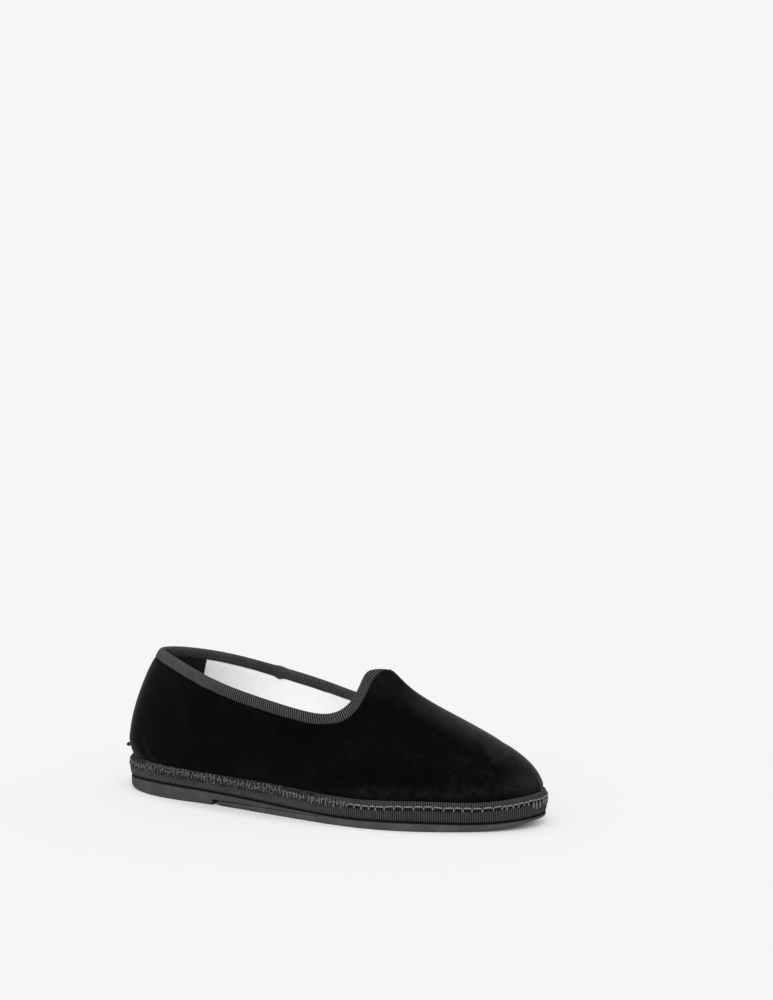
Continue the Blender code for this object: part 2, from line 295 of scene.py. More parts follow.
@dataclass(frozen=True)
class RibFan:
    """Ribs of the upper, each a curve from the band's top to the rim."""

    curves: Points
    measured: Points

    @property
    def total(self) -> Points:
        """Length of each rib."""
        return self.measured[-1]

    def at(self, lengths: Points) -> Points:
        """Points on the ribs.

        Args:
            lengths: Distances from the foot, shaped (rows, ribs).

        Returns:
            Places shaped (rows, ribs, 3).
        """
        points = np.empty((*lengths.shape, 3))
        for rib in range(lengths.shape[1]):
            for axis in range(3):
                curve = self.curves[:, rib, axis]
                points[:, rib, axis] = np.interp(lengths[:, rib], self.measured[:, rib], curve)
        return points


@dataclass(frozen=True)
class Last:
    """The form that the shoe is made on, with the band, sole and rim that are set round it."""

    length: float = 255 * MM
    ball_width: float = 88 * MM
    heel_height: float = 81 * MM
    instep_height: float = 81 * MM
    band_thickness: float = 2.2 * MM
    gap: float = 0.3 * MM
    foot_lift: float = 0.45 * MM
    place: Triple = (0.0, 0.0, 0.0)
    samples: int = 160
    nudge: float = 0.01
    facets_per_rib: int = 3
    puff_rib: float = 11.9
    puff_breadth: float = 1.35
    puff_rise: float = 3.8 * MM
    puff_run: float = 4.8 * MM
    peak_rib: float = 12.8
    peak_breadth: float = 1.9
    peak_dip: float = 3.2 * MM
    lip_rib: float = 10.9
    lip_breadth: float = 0.8
    lip_rise: float = 1.6 * MM
    narrow_rib: float = 12.0
    narrow_breadth: float = 1.4
    narrowing: float = 0.60

    @classmethod
    def on_frame(cls) -> "Last":
        """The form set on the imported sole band, which gives its length and its place.

        Returns:
            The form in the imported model's frame.
        """
        low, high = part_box("sole_band")
        last = cls(length=high.x - low.x)
        facets = np.arange(RIBS * last.facets_per_rib) / last.facets_per_rib
        outer_edge = float(last.outline_points(facets)[:, 1].min())
        return replace(last, place=(low.x, low.y - outer_edge, 0.0))

    @staticmethod
    def round_the_shoe(outer: Points, inner: Points) -> Points:
        """Values for all ribs: the outer side from heel to toe, then the inner side back."""
        return np.concatenate([outer, inner[-2:0:-1]])

    def level(self, column: str, x: Points) -> Points:
        """Height over the floor of the sole's or the band's top, at distances from the back of the heel."""
        places, shares = np.array([(row.x, getattr(row, column)) for row in LEVELS]).T
        return open_curve(places * self.length, shares * self.heel_height, x)

    def outline_points(self, ribs: Points) -> Points:
        """Plan points of the band's outer face at the given ribs."""
        outer = np.array([[-row.outer] for row in OUTLINE])
        inner = np.array([[row.inner] for row in OUTLINE])
        y = closed_curve(self.round_the_shoe(outer, inner) * self.ball_width, ribs)[:, 0]
        x = self.length / 2 * (1 - np.cos(TURN * ribs / RIBS))
        return np.column_stack([x, y])

    def outline(self, ribs: Points, inset: Amount) -> tuple[Points, Points]:
        """Plan points moved in from the band's outer face.

        Args:
            ribs: Rib numbers.
            inset: How far in, one number or one for each rib.

        Returns:
            The plan points, and the outward directions there.
        """
        along = self.outline_points(ribs + self.nudge) - self.outline_points(ribs - self.nudge)
        outward = unit(np.column_stack([along[:, 1], -along[:, 0]]))
        return self.outline_points(ribs) - outward * np.reshape(inset, (-1, 1)), outward

    def rib_of(self, x: Points) -> Points:
        """Rib numbers, from heel to toe, where the outline passes x."""
        return RIBS / 2 * np.arccos(np.clip(1 - 2 * x / self.length, -1, 1)) / math.pi

    def rim(self, ribs: Points) -> Points:
        """Points of the upper's edge at the given ribs."""
        outer, inner = [], []
        for rows, height in ((COLLAR, self.heel_height), (THROAT, self.instep_height)):
            for row in rows:
                x, z = row.x * self.length, row.z * height
                outer.append((x, -row.outer * self.ball_width, z))
                inner.append((x, row.inner * self.ball_width, z))
        return closed_curve(self.round_the_shoe(np.array(outer), np.array(inner)), ribs)

    def fan(self, ribs: Points) -> RibFan:
        """Outer face of the upper as curves from the band's top to the rim.

        Args:
            ribs: Rib numbers.

        Returns:
            The curves with the lengths along them.
        """
        plan, outward = self.outline(ribs, self.band_thickness + self.gap)
        foot = np.column_stack([plan, self.level("band", plan[:, 0]) + self.foot_lift])
        rim = self.rim(ribs)
        outward = np.column_stack([outward, np.zeros(len(ribs))])
        up = np.array([0.0, 0.0, 1.0])
        bends = np.array(BENDS)
        rows = self.round_the_shoe(bends, bends)
        rise, foot_swell, drop, rim_swell, reach = closed_curve(rows, ribs / 2).T[:, :, None]
        low = foot + rise * self.instep_height * up + foot_swell * self.ball_width * outward
        spread = (foot - rim) * (1 - up)
        high = rim - drop * self.instep_height * up + rim_swell * self.ball_width * outward
        high = high + reach * spread
        late = np.linspace(0, 1, self.samples + 1)[:, None, None]
        early = 1 - late
        curves = early**3 * foot + 3 * early**2 * late * low + 3 * early * late**2 * high + late**3 * rim
        curves[..., 2] += self.puff(ribs, distances(curves))
        return RibFan(curves, distances(curves))

    def puff(self, ribs: Points, measured: Points) -> Points:
        """Rise of the cloth where it rolls over the binding at the throat's peak.

        Args:
            ribs: Rib numbers.
            measured: Distances along the ribs from the foot.

        Returns:
            Rises of the same shape as the distances.
        """
        away = (measured[-1] - measured) / self.puff_run
        turned = np.mod(ribs, RIBS)
        puffed = bell(turned, self.puff_rib, self.puff_breadth)
        dipped = bell(turned, self.peak_rib, self.peak_breadth)
        lifted = bell(turned, self.lip_rib, self.lip_breadth)
        edge = self.lip_rise * lifted - self.peak_dip * dipped
        return self.puff_rise * puffed * away * np.exp(1 - away) + edge * np.exp(-away)

    def binding_scale(self, ribs: Points) -> Points:
        """Share of the binding's width that shows, less at the throat's peak."""
        return 1 - self.narrowing * bell(np.mod(ribs, RIBS), self.narrow_rib, self.narrow_breadth)


class Loop:
    """A closed line round the shoe, measured along its length."""

    points_per_rib: int = 100

    def __init__(self, line: Callable[[Points], Points]) -> None:
        """Measure a line that gives points for rib numbers."""
        fine = np.arange(RIBS * self.points_per_rib) / self.points_per_rib
        self.arcs = distances(closed(line(fine), 0))
        self.ribs = np.linspace(0, RIBS, len(self.arcs))
        self.length = float(self.arcs[-1])

    def ribs_at(self, arcs: Points) -> Points:
        """Rib numbers at distances from the heel."""
        return np.interp(np.mod(arcs, self.length), self.arcs, self.ribs)

    def arc_of(self, rib: float) -> float:
        """Distance from the heel to a rib, past a full turn too."""
        turns = math.floor(rib / RIBS)
        return turns * self.length + float(np.interp(rib - turns * RIBS, self.ribs, self.arcs))


Number = Union[float, "Signal"]
Settings = dict[str, Any]
Sockets = dict[Union[str, int], Any]


class Signal:
    """A shader value that takes part in arithmetic; each operation adds one Math node to its bench."""

    def __init__(self, bench: "Bench", socket: bpy.types.NodeSocket) -> None:
        """Wrap an output socket of one of the bench's nodes."""
        self.bench = bench
        self.socket = socket

    def math(self, operation: str, first: Number, second: Number = 0.0) -> "Signal":
        """A Math node on one or two values."""
        return self.bench.signal("ShaderNodeMath", {"operation": operation}, {0: first, 1: second})

    def __add__(self, other: Number) -> "Signal":
        """Sum with a value."""
        return self.math("ADD", self, other)

    def __radd__(self, other: Number) -> "Signal":
        """Sum with a number on the left."""
        return self.math("ADD", other, self)

    def __sub__(self, other: Number) -> "Signal":
        """Difference from a value."""
        return self.math("SUBTRACT", self, other)

    def __rsub__(self, other: Number) -> "Signal":
        """Difference of a number and this value."""
        return self.math("SUBTRACT", other, self)

    def __mul__(self, other: Number) -> "Signal":
        """Product with a value."""
        return self.math("MULTIPLY", self, other)

    def __rmul__(self, other: Number) -> "Signal":
        """Product with a number on the left."""
        return self.math("MULTIPLY", other, self)

    def sine(self) -> "Signal":
        """Sine of the value, in radians."""
        return self.math("SINE", self)

    def wave(self) -> "Signal":
        """Sine of the value, in radians, brought between 0 and 1."""
        return self.sine() * 0.5 + 0.5

    def swing(self, weight: float) -> "Signal":
        """How far the value is from 0.5, times a weight."""
        return (self - 0.5) * weight

    def mixed(self, other: "Signal", share: float) -> "Signal":
        """The value with a share of it given to another one."""
        return self * (1 - share) + other * share

    def step(self, low: float, high: float) -> "Signal":
        """Soft step of the value, from 0 at low to 1 at high."""
        sockets = {"Value": self, "From Min": low, "From Max": high}
        return self.bench.signal("ShaderNodeMapRange", {"interpolation_type": "SMOOTHSTEP"}, sockets)


class Bench:
    """The node tree of one finish, with a Principled shader at its end."""

    def __init__(self, name: str) -> None:
        """Start a material."""
        self.material = bpy.data.materials.new(name)
        self.material.use_nodes = True
        self.tree = self.material.node_tree
        self.shader = self.tree.nodes["Principled BSDF"]

    def feed(self, socket: bpy.types.NodeSocket, value: Any) -> None:
        """Link a signal to a socket, or set a plain value on it.

        Args:
            socket: The input socket.
            value: A signal or a plain value.
        """
        if isinstance(value, Signal):
            self.tree.links.new(value.socket, socket)
        else:
            socket.default_value = value

    def node(
        self,
        kind: str,
        settings: Optional[Settings] = None,
        sockets: Optional[Sockets] = None,
    ) -> bpy.types.Node:
        """Any node but the shader.

        Args:
            kind: The node's type.
            settings: Its settings, which are set first.
            sockets: Values or signals for its inputs, by name or number.

        Returns:
            The node.
        """
        made = self.tree.nodes.new(kind)
        for name, value in (settings or {}).items():
            setattr(made, name, value)
        for key, value in (sockets or {}).items():
            self.feed(made.inputs[key], value)
        return made

    def signal(
        self,
        kind: str,
        settings: Optional[Settings] = None,
        sockets: Optional[Sockets] = None,
        output: Union[str, int] = 0,
    ) -> Signal:
        """One output of a new node, by its name or number."""
        return Signal(self, self.node(kind, settings, sockets).outputs[output])

    def object_place(self) -> Signal:
        """Object coordinates, in metres."""
        return self.signal("ShaderNodeTexCoord", output="Object")

    def surface_place(self) -> tuple[Signal, Signal]:
        """The two parts of the piece's own UV map.

        Returns:
            The part along the columns and the part along the rows.
        """
        place = self.signal("ShaderNodeUVMap", {"uv_map": UV_MAP})
        split = self.node("ShaderNodeSeparateXYZ", sockets={0: place})
        return Signal(self, split.outputs[0]), Signal(self, split.outputs[1])

    def attribute(self, name: str) -> Signal:
        """A value kept at the piece's vertices."""
        return self.signal("ShaderNodeAttribute", {"attribute_name": name}, output="Fac")

    def vector(self, x: Number, y: Number, z: Number = 0.0) -> Signal:
        """A vector from three values."""
        return self.signal("ShaderNodeCombineXYZ", sockets={0: x, 1: y, 2: z})

    def scaled(self, place: Signal, scale: Triple) -> Signal:
        """A vector multiplied part by part."""
        return self.signal("ShaderNodeVectorMath", {"operation": "MULTIPLY"}, {0: place, 1: scale})

    def cloud(self, place: Signal, size: float, detail: float = 2.0) -> Signal:
        """Soft noise around 0.5, in lumps of a size in the units of the place."""
        sockets = {"Vector": place, "Scale": 1 / size, "Detail": detail}
        return self.signal("ShaderNodeTexNoise", {"noise_dimensions": "3D"}, sockets)

    def blend(self, factor: Signal, low: Union[Color, Signal], high: Union[Color, Signal]) -> Signal:
        """A colour between two: the first where the factor is 0 and the second where it is 1."""
        settings = {"data_type": "RGBA", "clamp_factor": True}
        return self.signal("ShaderNodeMix", settings, {0: factor, 6: low, 7: high}, output=2)

    def bump(self, height: Signal, depth: float, strength: float) -> Signal:
        """A surface direction from a height, of which 1 measures the depth."""
        sockets = {"Strength": strength, "Distance": depth, "Height": height}
        return self.signal("ShaderNodeBump", sockets=sockets)

    def dress(self, **sockets: Any) -> Material:
        """Feed the shader, whose socket names are given with underscores for spaces.

        Args:
            sockets: Values or signals, such as Base_Color.

        Returns:
            The finished material.
        """
        for name, value in sockets.items():
            self.feed(self.shader.inputs[name.replace("_", " ")], value)
        return self.material


class Finish(Protocol):
    """The look of one piece."""

    name: str

    def material(self) -> Material:
        """Make the material."""


def grey(value: float, warmth: float = 0.0) -> Color:
    """A linear grey, a little redder where its warmth is above 0 and bluer where it is below."""
    return (value * (1 + warmth), value, value * (1 - warmth), 1.0)


@dataclass(frozen=True)
class Velvet:
    """Short black pile: dark where it faces the eye and pale where it is seen on its tips."""

    name: str = "black_velvet"
    pile: Color = (0.0020, 0.0014, 0.0022, 1.0)
    brushed: Color = grey(0.0110)
    # Colour of the painted highlight on pile that faces the light from above
    painted_highlight: Color = grey(0.0170)
    tips: Color = grey(0.95)
    fibre: float = 0.18 * MM
    tuft: float = 2.4 * MM
    grain: float = 0.9 * MM
    drift: float = 18 * MM
    combing: Triple = (0.6, 1.0, 0.8)
    patch_edges: Span = (0.46, 0.72)
    patch_tone: float = 0.18
    speckle: float = 0.4
    nap_edges: Span = (0.36, 0.66)
    nap_base: float = 0.14
    nap_tone: float = 0.62
    highlight_mottle: float = 1.6
    highlight_drift: float = 1.2
    pile_depth: float = 0.18 * MM
    pile_bump: float = 0.4
    sheen: float = 0.15
    sheen_roughness: float = 0.35

    def material(self) -> Material:
        """Pile with brushed patches, marks from its nap attribute, and a painted highlight from its lay
        attribute where light falls from above.

        Returns:
            The material.
        """
        bench = Bench(self.name)
        place = bench.object_place()
        fibre = bench.cloud(place, self.fibre, detail=1.0)
        tuft = bench.cloud(bench.scaled(place, self.combing), self.tuft, detail=4.0)
        grain = bench.cloud(place, self.grain)
        drift = bench.cloud(place, self.drift)
        patch = drift.mixed(tuft, 0.5).step(*self.patch_edges) * self.patch_tone
        mark = tuft.mixed(grain, 0.4).step(*self.nap_edges) * self.nap_tone + self.nap_base
        tone = patch + fibre.swing(self.speckle) + bench.attribute("nap") * mark
        # The lay attribute paints a highlight where light from above falls, mottled at random
        mottle = tuft.swing(self.highlight_mottle) + grain.swing(self.highlight_mottle) + drift.swing(self.highlight_drift)
        lay = bench.attribute("lay") * (mottle + 1.0)
        return bench.dress(
            Base_Color=bench.blend(lay, bench.blend(tone, self.pile, self.brushed), self.painted_highlight),
            Roughness=1.0 - patch * 0.2,
            Normal=bench.bump(fibre.mixed(tuft, 0.25), self.pile_depth, self.pile_bump),
            Specular_IOR_Level=0.0,
            Sheen_Weight=self.sheen,
            Sheen_Roughness=self.sheen_roughness,
            Sheen_Tint=self.tips,
        )


@dataclass(frozen=True)
class Grosgrain:
    """Ribbed ribbon; its map counts ribs one way and metres the other.

    Its shade attribute paints shade into it, and its plain attribute takes its ribs away.
    """

    name: str
    shaded_valley: Color
    ridge: Color
    painted_shade: Color = grey(0.004)
    yarn: float = 0.3 * MM
    slub_length: float = 1.5 * MM
    slubs_per_rib: float = 1.3
    slub_tone: float = 0.9
    worn_patch: float = 9 * MM
    worn_tone: float = 0.4
    least_crisp: float = 0.2
    crispness: float = 2.2
    plain_tone: float = 0.18
    weave_depth: float = 0.12 * MM
    weave_bump: float = 0.7

    def material(self) -> Material:
        """Ridges with a painted highlight, valleys with painted shade, and uneven yarn.

        Returns:
            The material.
        """
        bench = Bench(self.name)
        ribs, across = bench.surface_place()
        # The ribs' light and shade is painted: the ridge colour on the crests and the dark valley colour
        # between them
        ridge = (ribs * TURN + math.pi / 2).wave()
        slub_place = bench.vector(ribs * self.slubs_per_rib, across * (1 / self.slub_length))
        slub = bench.cloud(slub_place, 1.0)
        yarn = (across * (TURN / self.yarn)).wave()
        wear = bench.cloud(bench.object_place(), self.worn_patch)
        plain = bench.attribute("plain")
        ribbed = 1.0 - plain
        crisp = (wear * self.crispness + self.least_crisp) * ribbed
        tone = (ridge - 0.5) * crisp + slub.swing(self.slub_tone) + wear.swing(self.worn_tone)
        ribbon = bench.blend(tone + plain * self.plain_tone + 0.5, self.shaded_valley, self.ridge)
        weave = ridge * ribbed * 0.4 + slub * 0.4 + yarn * 0.2
        return bench.dress(
            # Painted shade where the shade attribute is set
            Base_Color=bench.blend(bench.attribute("shade"), ribbon, self.painted_shade),
            Roughness=0.95 - ridge * 0.2,
            Normal=bench.bump(weave, self.weave_depth, self.weave_bump),
            Specular_IOR_Level=0.06,
            Sheen_Weight=0.05,
            Sheen_Roughness=0.4,
        )


@dataclass(frozen=True)
class Thread:
    """Twisted sewing thread; its map runs in millimetres along it and once round it."""

    name: str
    dark: Color
    light: Color
    twist: float = 0.9
    plies: int = 2
    fuzz: float = 0.6 * MM
    ply_depth: float = 0.1 * MM
    ply_bump: float = 0.8

    def material(self) -> Material:
        """Two plies that wind round each other.

        Returns:
            The material.
        """
        bench = Bench(self.name)
        along, round_it = bench.surface_place()
        ply = (along * (TURN / self.twist) + round_it * (self.plies * TURN)).wave()
        fuzz = bench.cloud(bench.object_place(), self.fuzz)
        tone = ply * 0.6 + fuzz.swing(0.9) + 0.2
        return bench.dress(
            Base_Color=bench.blend(tone, self.dark, self.light),
            Roughness=0.9 - ply * 0.2,
            Normal=bench.bump(ply, self.ply_depth, self.ply_bump),
            Specular_IOR_Level=0.2,
        )


@dataclass(frozen=True)
class Rubber:
    """Cut sheet rubber with a fine grain and pale rubs; its shade attribute paints shade into the seams."""

    name: str
    base: Color
    rubbed: Color
    front: Color
    # Colour of the painted shade in the seams, under the band and under the wedge
    seam: Color = grey(0.003)
    grain: float = 0.8 * MM
    drawing: Triple = (0.16, 0.5, 1.0)
    worn_patch: float = 11 * MM
    worn_edges: Span = (0.4, 0.75)
    front_run: Span = (-80 * MM, 0 * MM)
    grain_depth: float = 0.2 * MM
    grain_bump: float = 0.5

    def material(self) -> Material:
        """Grain that runs along the sole, with worn patches and a tint that changes towards the front.

        Returns:
            The material.
        """
        bench = Bench(self.name)
        place = bench.object_place()
        streak = bench.cloud(bench.scaled(place, self.drawing), self.grain, detail=3.0)
        grain = bench.cloud(place, 0.5 * self.grain)
        wear = bench.cloud(place, self.worn_patch, detail=3.0).step(*self.worn_edges)
        tone = streak.swing(1.0) + grain.swing(0.8) + wear * 0.5 + 0.25
        forward = bench.signal("ShaderNodeSeparateXYZ", sockets={0: place}).step(*self.front_run)
        sheet = bench.blend(tone, bench.blend(forward, self.base, self.front), self.rubbed)
        return bench.dress(
            Base_Color=bench.blend(bench.attribute("shade"), sheet, self.seam),
            Roughness=0.62 + grain * 0.25,
            Normal=bench.bump(streak.mixed(grain, 0.4), self.grain_depth, self.grain_bump),
            Specular_IOR_Level=0.08,
        )


@dataclass(frozen=True)
class Cotton:
    """Plain woven cloth; its map is in metres."""

    name: str
    shade: Color
    light: Color
    pitch: float = 0.55 * MM
    uneven: float = 5 * MM
    weave_depth: float = 0.1 * MM
    weave_bump: float = 0.5

    def material(self) -> Material:
        """Over and under weave with slightly uneven yarn.

        Returns:
            The material.
        """
        bench = Bench(self.name)
        along, across = bench.surface_place()
        warp = (along * (TURN / self.pitch)).sine()
        weft = (across * (TURN / self.pitch)).sine()
        weave = warp * weft * 0.5 + 0.5
        uneven = bench.cloud(bench.object_place(), self.uneven, detail=3.0)
        tone = weave * 0.4 + uneven.swing(0.8) + 0.4
        return bench.dress(
            Base_Color=bench.blend(tone, self.shade, self.light),
            Roughness=0.95 - weave * 0.1,
            Normal=bench.bump(weave, self.weave_depth, self.weave_bump),
            Specular_IOR_Level=0.1,
        )


BLACK_VELVET = Velvet()
COLLAR_GROSGRAIN = Grosgrain("collar_grosgrain", grey(0.002, -0.02), grey(0.064, -0.02))
BAND_GROSGRAIN = Grosgrain("band_grosgrain", grey(0.002, -0.02), grey(0.058, -0.02))
FOLD_GROSGRAIN = Grosgrain("fold_grosgrain", grey(0.026, -0.02), grey(0.052, -0.02))
GREY_THREAD = Thread("grey_thread", grey(0.060, -0.04), grey(0.26, -0.04))
DULL_THREAD = Thread("dull_thread", grey(0.014, -0.04), grey(0.215, -0.04))
BLACK_THREAD = Thread("black_thread", grey(0.004), grey(0.02))
HEEL_RUBBER = Rubber(
    "heel_rubber",
    base=(0.0415, 0.0378, 0.0388, 1.0),
    rubbed=(0.067, 0.061, 0.062, 1.0),
    front=grey(0.036),
)
TREAD_RUBBER = Rubber("tread_rubber", base=grey(0.032), rubbed=grey(0.076), front=grey(0.041))
WHITE_COTTON = Cotton("white_cotton", grey(0.86), grey(0.95))
BLACK_COTTON = Cotton("black_cotton", grey(0.004), grey(0.012))


def in_scene(name: str, data: bpy.types.ID) -> bpy.types.Object:
    """A new object in the scene.

    Args:
        name: Its name.
        data: Its mesh, camera or light.

    Returns:
        The object.
    """
    made = bpy.data.objects.new(name, data)
    bpy.context.scene.collection.objects.link(made)
    return made


class Workshop:
    """Turns shapes in the shoe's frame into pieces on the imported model."""

    tip_taper: float = 0.8

    def __init__(self, last: Last) -> None:
        """Keep the form, which knows where the shoe stands."""
        self.last = last
        self.materials: dict[str, Material] = {}

    def grid(
        self,
        mesh: Mesh,
        points: Points,
        places: Optional[Points] = None,
        marks: Optional[dict[str, Points]] = None,
    ) -> None:
        """Add a grid that is bent through rows of points.

        Args:
            mesh: The mesh that gets it.
            points: Places in the shoe's frame, shaped (rows, columns, 3).
            places: Its UV map, shaped (rows, columns, 2).
            marks: Values for vertex attributes, each shaped (rows, columns).
        """
        rows, columns = points.shape[:2]
        charts = mesh.loops.layers.uv
        chart = None if places is None else charts.get(UV_MAP) or charts.new(UV_MAP)
        made = bmesh.ops.create_grid(mesh, x_segments=columns - 1, y_segments=rows - 1, size=0.5)["verts"]
        mesh.verts.index_update()
        first = made[0].index
        for vertex, point in zip(made, (points + np.array(self.last.place)).reshape(-1, 3)):
            vertex.co = point
        for name, values in (marks or {}).items():
            layer = mesh.verts.layers.float.get(name) or mesh.verts.layers.float.new(name)
            mesh.verts.ensure_lookup_table()
            for number, value in enumerate(values.reshape(-1)):
                mesh.verts[first + number][layer] = value
        if places is not None:
            flat = places.reshape(-1, 2)
            for face in mesh.faces[-(rows - 1) * (columns - 1) :]:
                for corner in face.loops:
                    corner[chart].uv = flat[corner.vert.index - first]

    def tube(self, mesh: Mesh, path: Points, out: Points, radius: float, sides: int = 6) -> None:
        """Add a thread with closed, rounded ends.

        Args:
            mesh: The mesh that gets it.
            path: Its middle line, shaped (count, 3).
            out: A direction across it at each point.
            radius: Half its thickness.
            sides: How many faces go round it.
        """
        along = unit(np.gradient(path, axis=0))
        across = unit(np.cross(along, out))
        out = np.cross(across, along)
        taper = np.full(len(path), radius)
        taper[[0, -1]] = 0.0
        taper[[1, -2]] = self.tip_taper * radius
        turns = np.linspace(0, 1, sides + 1)
        angles = TURN * turns[:, None, None]
        points = path + taper[:, None] * (np.cos(angles) * out + np.sin(angles) * across)
        self.grid(mesh, points, chart_of(distances(path) / MM, turns))

    def piece(
        self,
        name: str,
        mesh: Mesh,
        finish: Finish,
        slot: Optional[str] = None,
        node: Optional[str] = None,
        sharp: Optional[float] = None,
    ) -> bpy.types.Object:
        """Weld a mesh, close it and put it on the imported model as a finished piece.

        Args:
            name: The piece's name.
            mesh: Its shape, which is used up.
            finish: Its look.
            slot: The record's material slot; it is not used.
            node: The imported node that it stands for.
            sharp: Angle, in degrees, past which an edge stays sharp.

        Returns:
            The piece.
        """
        bmesh.ops.remove_doubles(mesh, verts=mesh.verts, dist=WELD)
        bmesh.ops.holes_fill(mesh, edges=[edge for edge in mesh.edges if edge.is_boundary])
        bmesh.ops.recalc_face_normals(mesh, faces=mesh.faces)
        data = bpy.data.meshes.new(name)
        mesh.to_mesh(data)
        mesh.free()
        data.shade_smooth()
        if sharp is not None:
            data.set_sharp_from_angle(angle=math.radians(sharp))
        if finish.name not in self.materials:
            self.materials[finish.name] = finish.material()
        data.materials.append(self.materials[finish.name])
        made = in_scene(name, data)
        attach(made, BODY)
        if node:
            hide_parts(node)
        data.calc_loop_triangles()
        log.info("%s: %d triangles", name, len(data.loop_triangles))
        return made


@dataclass
class Assembly:
    """A part of the shoe, made in the workshop."""

    workshop: Workshop

    @property
    def last(self) -> Last:
        """The form that the shoe is made on."""
        return self.workshop.last


class Crease(NamedTuple):
    """A soft trough in the upper, or a ridge where its depth is below 0.

    It runs between two places, each a rib number and a share of the way up the rib. Width and depth are
    in millimetres.
    """

    rib: float
    share: float
    to_rib: float
    to_share: float
    width: float
    depth: float


class NapMark(NamedTuple):
    """A place where the pile is brushed pale.

    It has a rib number, a share of the way up the rib, two sizes in millimetres and a strength up to 1.
    """

    rib: float
    share: float
    length: float
    height: float
    strength: float


CREASES = (
    Crease(2.12, 0.20, 2.42, 0.06, 1.5, -0.22),
    Crease(2.55, 0.17, 2.80, 0.05, 3.0, 0.20),
    Crease(0.60, 0.16, 1.70, 0.13, 3.0, -0.30),
    Crease(22.3, 0.14, 23.4, 0.17, 3.0, -0.35),
    Crease(4.60, 0.10, 5.60, 0.14, 4.0, 0.45),
    Crease(5.30, 0.10, 6.10, 0.17, 3.0, -0.35),
    Crease(7.50, 0.55, 8.20, 0.30, 6.0, 0.45),
    Crease(8.80, 0.62, 9.40, 0.36, 6.0, -0.30),
    Crease(10.75, 0.36, 9.95, 0.15, 3.2, 0.65),
    Crease(10.95, 0.35, 10.25, 0.15, 1.6, -0.35),
    Crease(13.0, 0.36, 13.9, 0.13, 3.4, 0.55),
    Crease(15.6, 0.55, 16.4, 0.30, 6.0, 0.45),
    Crease(18.2, 0.12, 19.3, 0.15, 4.0, 0.45),
)

NAP_MARKS = (
    NapMark(4.85, 0.06, 8, 3, 0.45),
    NapMark(5.65, 0.07, 6, 3, 0.20),
    NapMark(6.75, 0.06, 6, 4, 0.70),
    NapMark(7.15, 0.06, 6, 4, 0.80),
    NapMark(7.50, 0.06, 6, 4, 0.80),
    NapMark(7.90, 0.05, 9, 4, 0.80),
    NapMark(8.50, 0.05, 8, 3, 0.75),
    NapMark(9.05, 0.05, 9, 4, 0.80),
    NapMark(9.65, 0.05, 8, 4, 0.80),
    NapMark(10.3, 0.05, 6, 3, 0.90),
    NapMark(9.50, 0.23, 9, 10, 0.35),
    NapMark(10.92, 0.34, 2, 3, 0.35),
    NapMark(10.72, 0.28, 2, 3, 0.45),
    NapMark(10.48, 0.21, 2, 3, 0.50),
    NapMark(10.1, 0.15, 4, 6, 0.45),
    NapMark(9.75, 0.17, 3, 3, 0.35),
    NapMark(7.80, 0.60, 5, 4, 0.12),
    NapMark(2.20, 0.14, 3, 5, 0.60),
    NapMark(14.4, 0.06, 9, 4, 0.40),
    NapMark(16.2, 0.06, 9, 4, 0.40),
    NapMark(18.6, 0.08, 9, 4, 0.35),
)


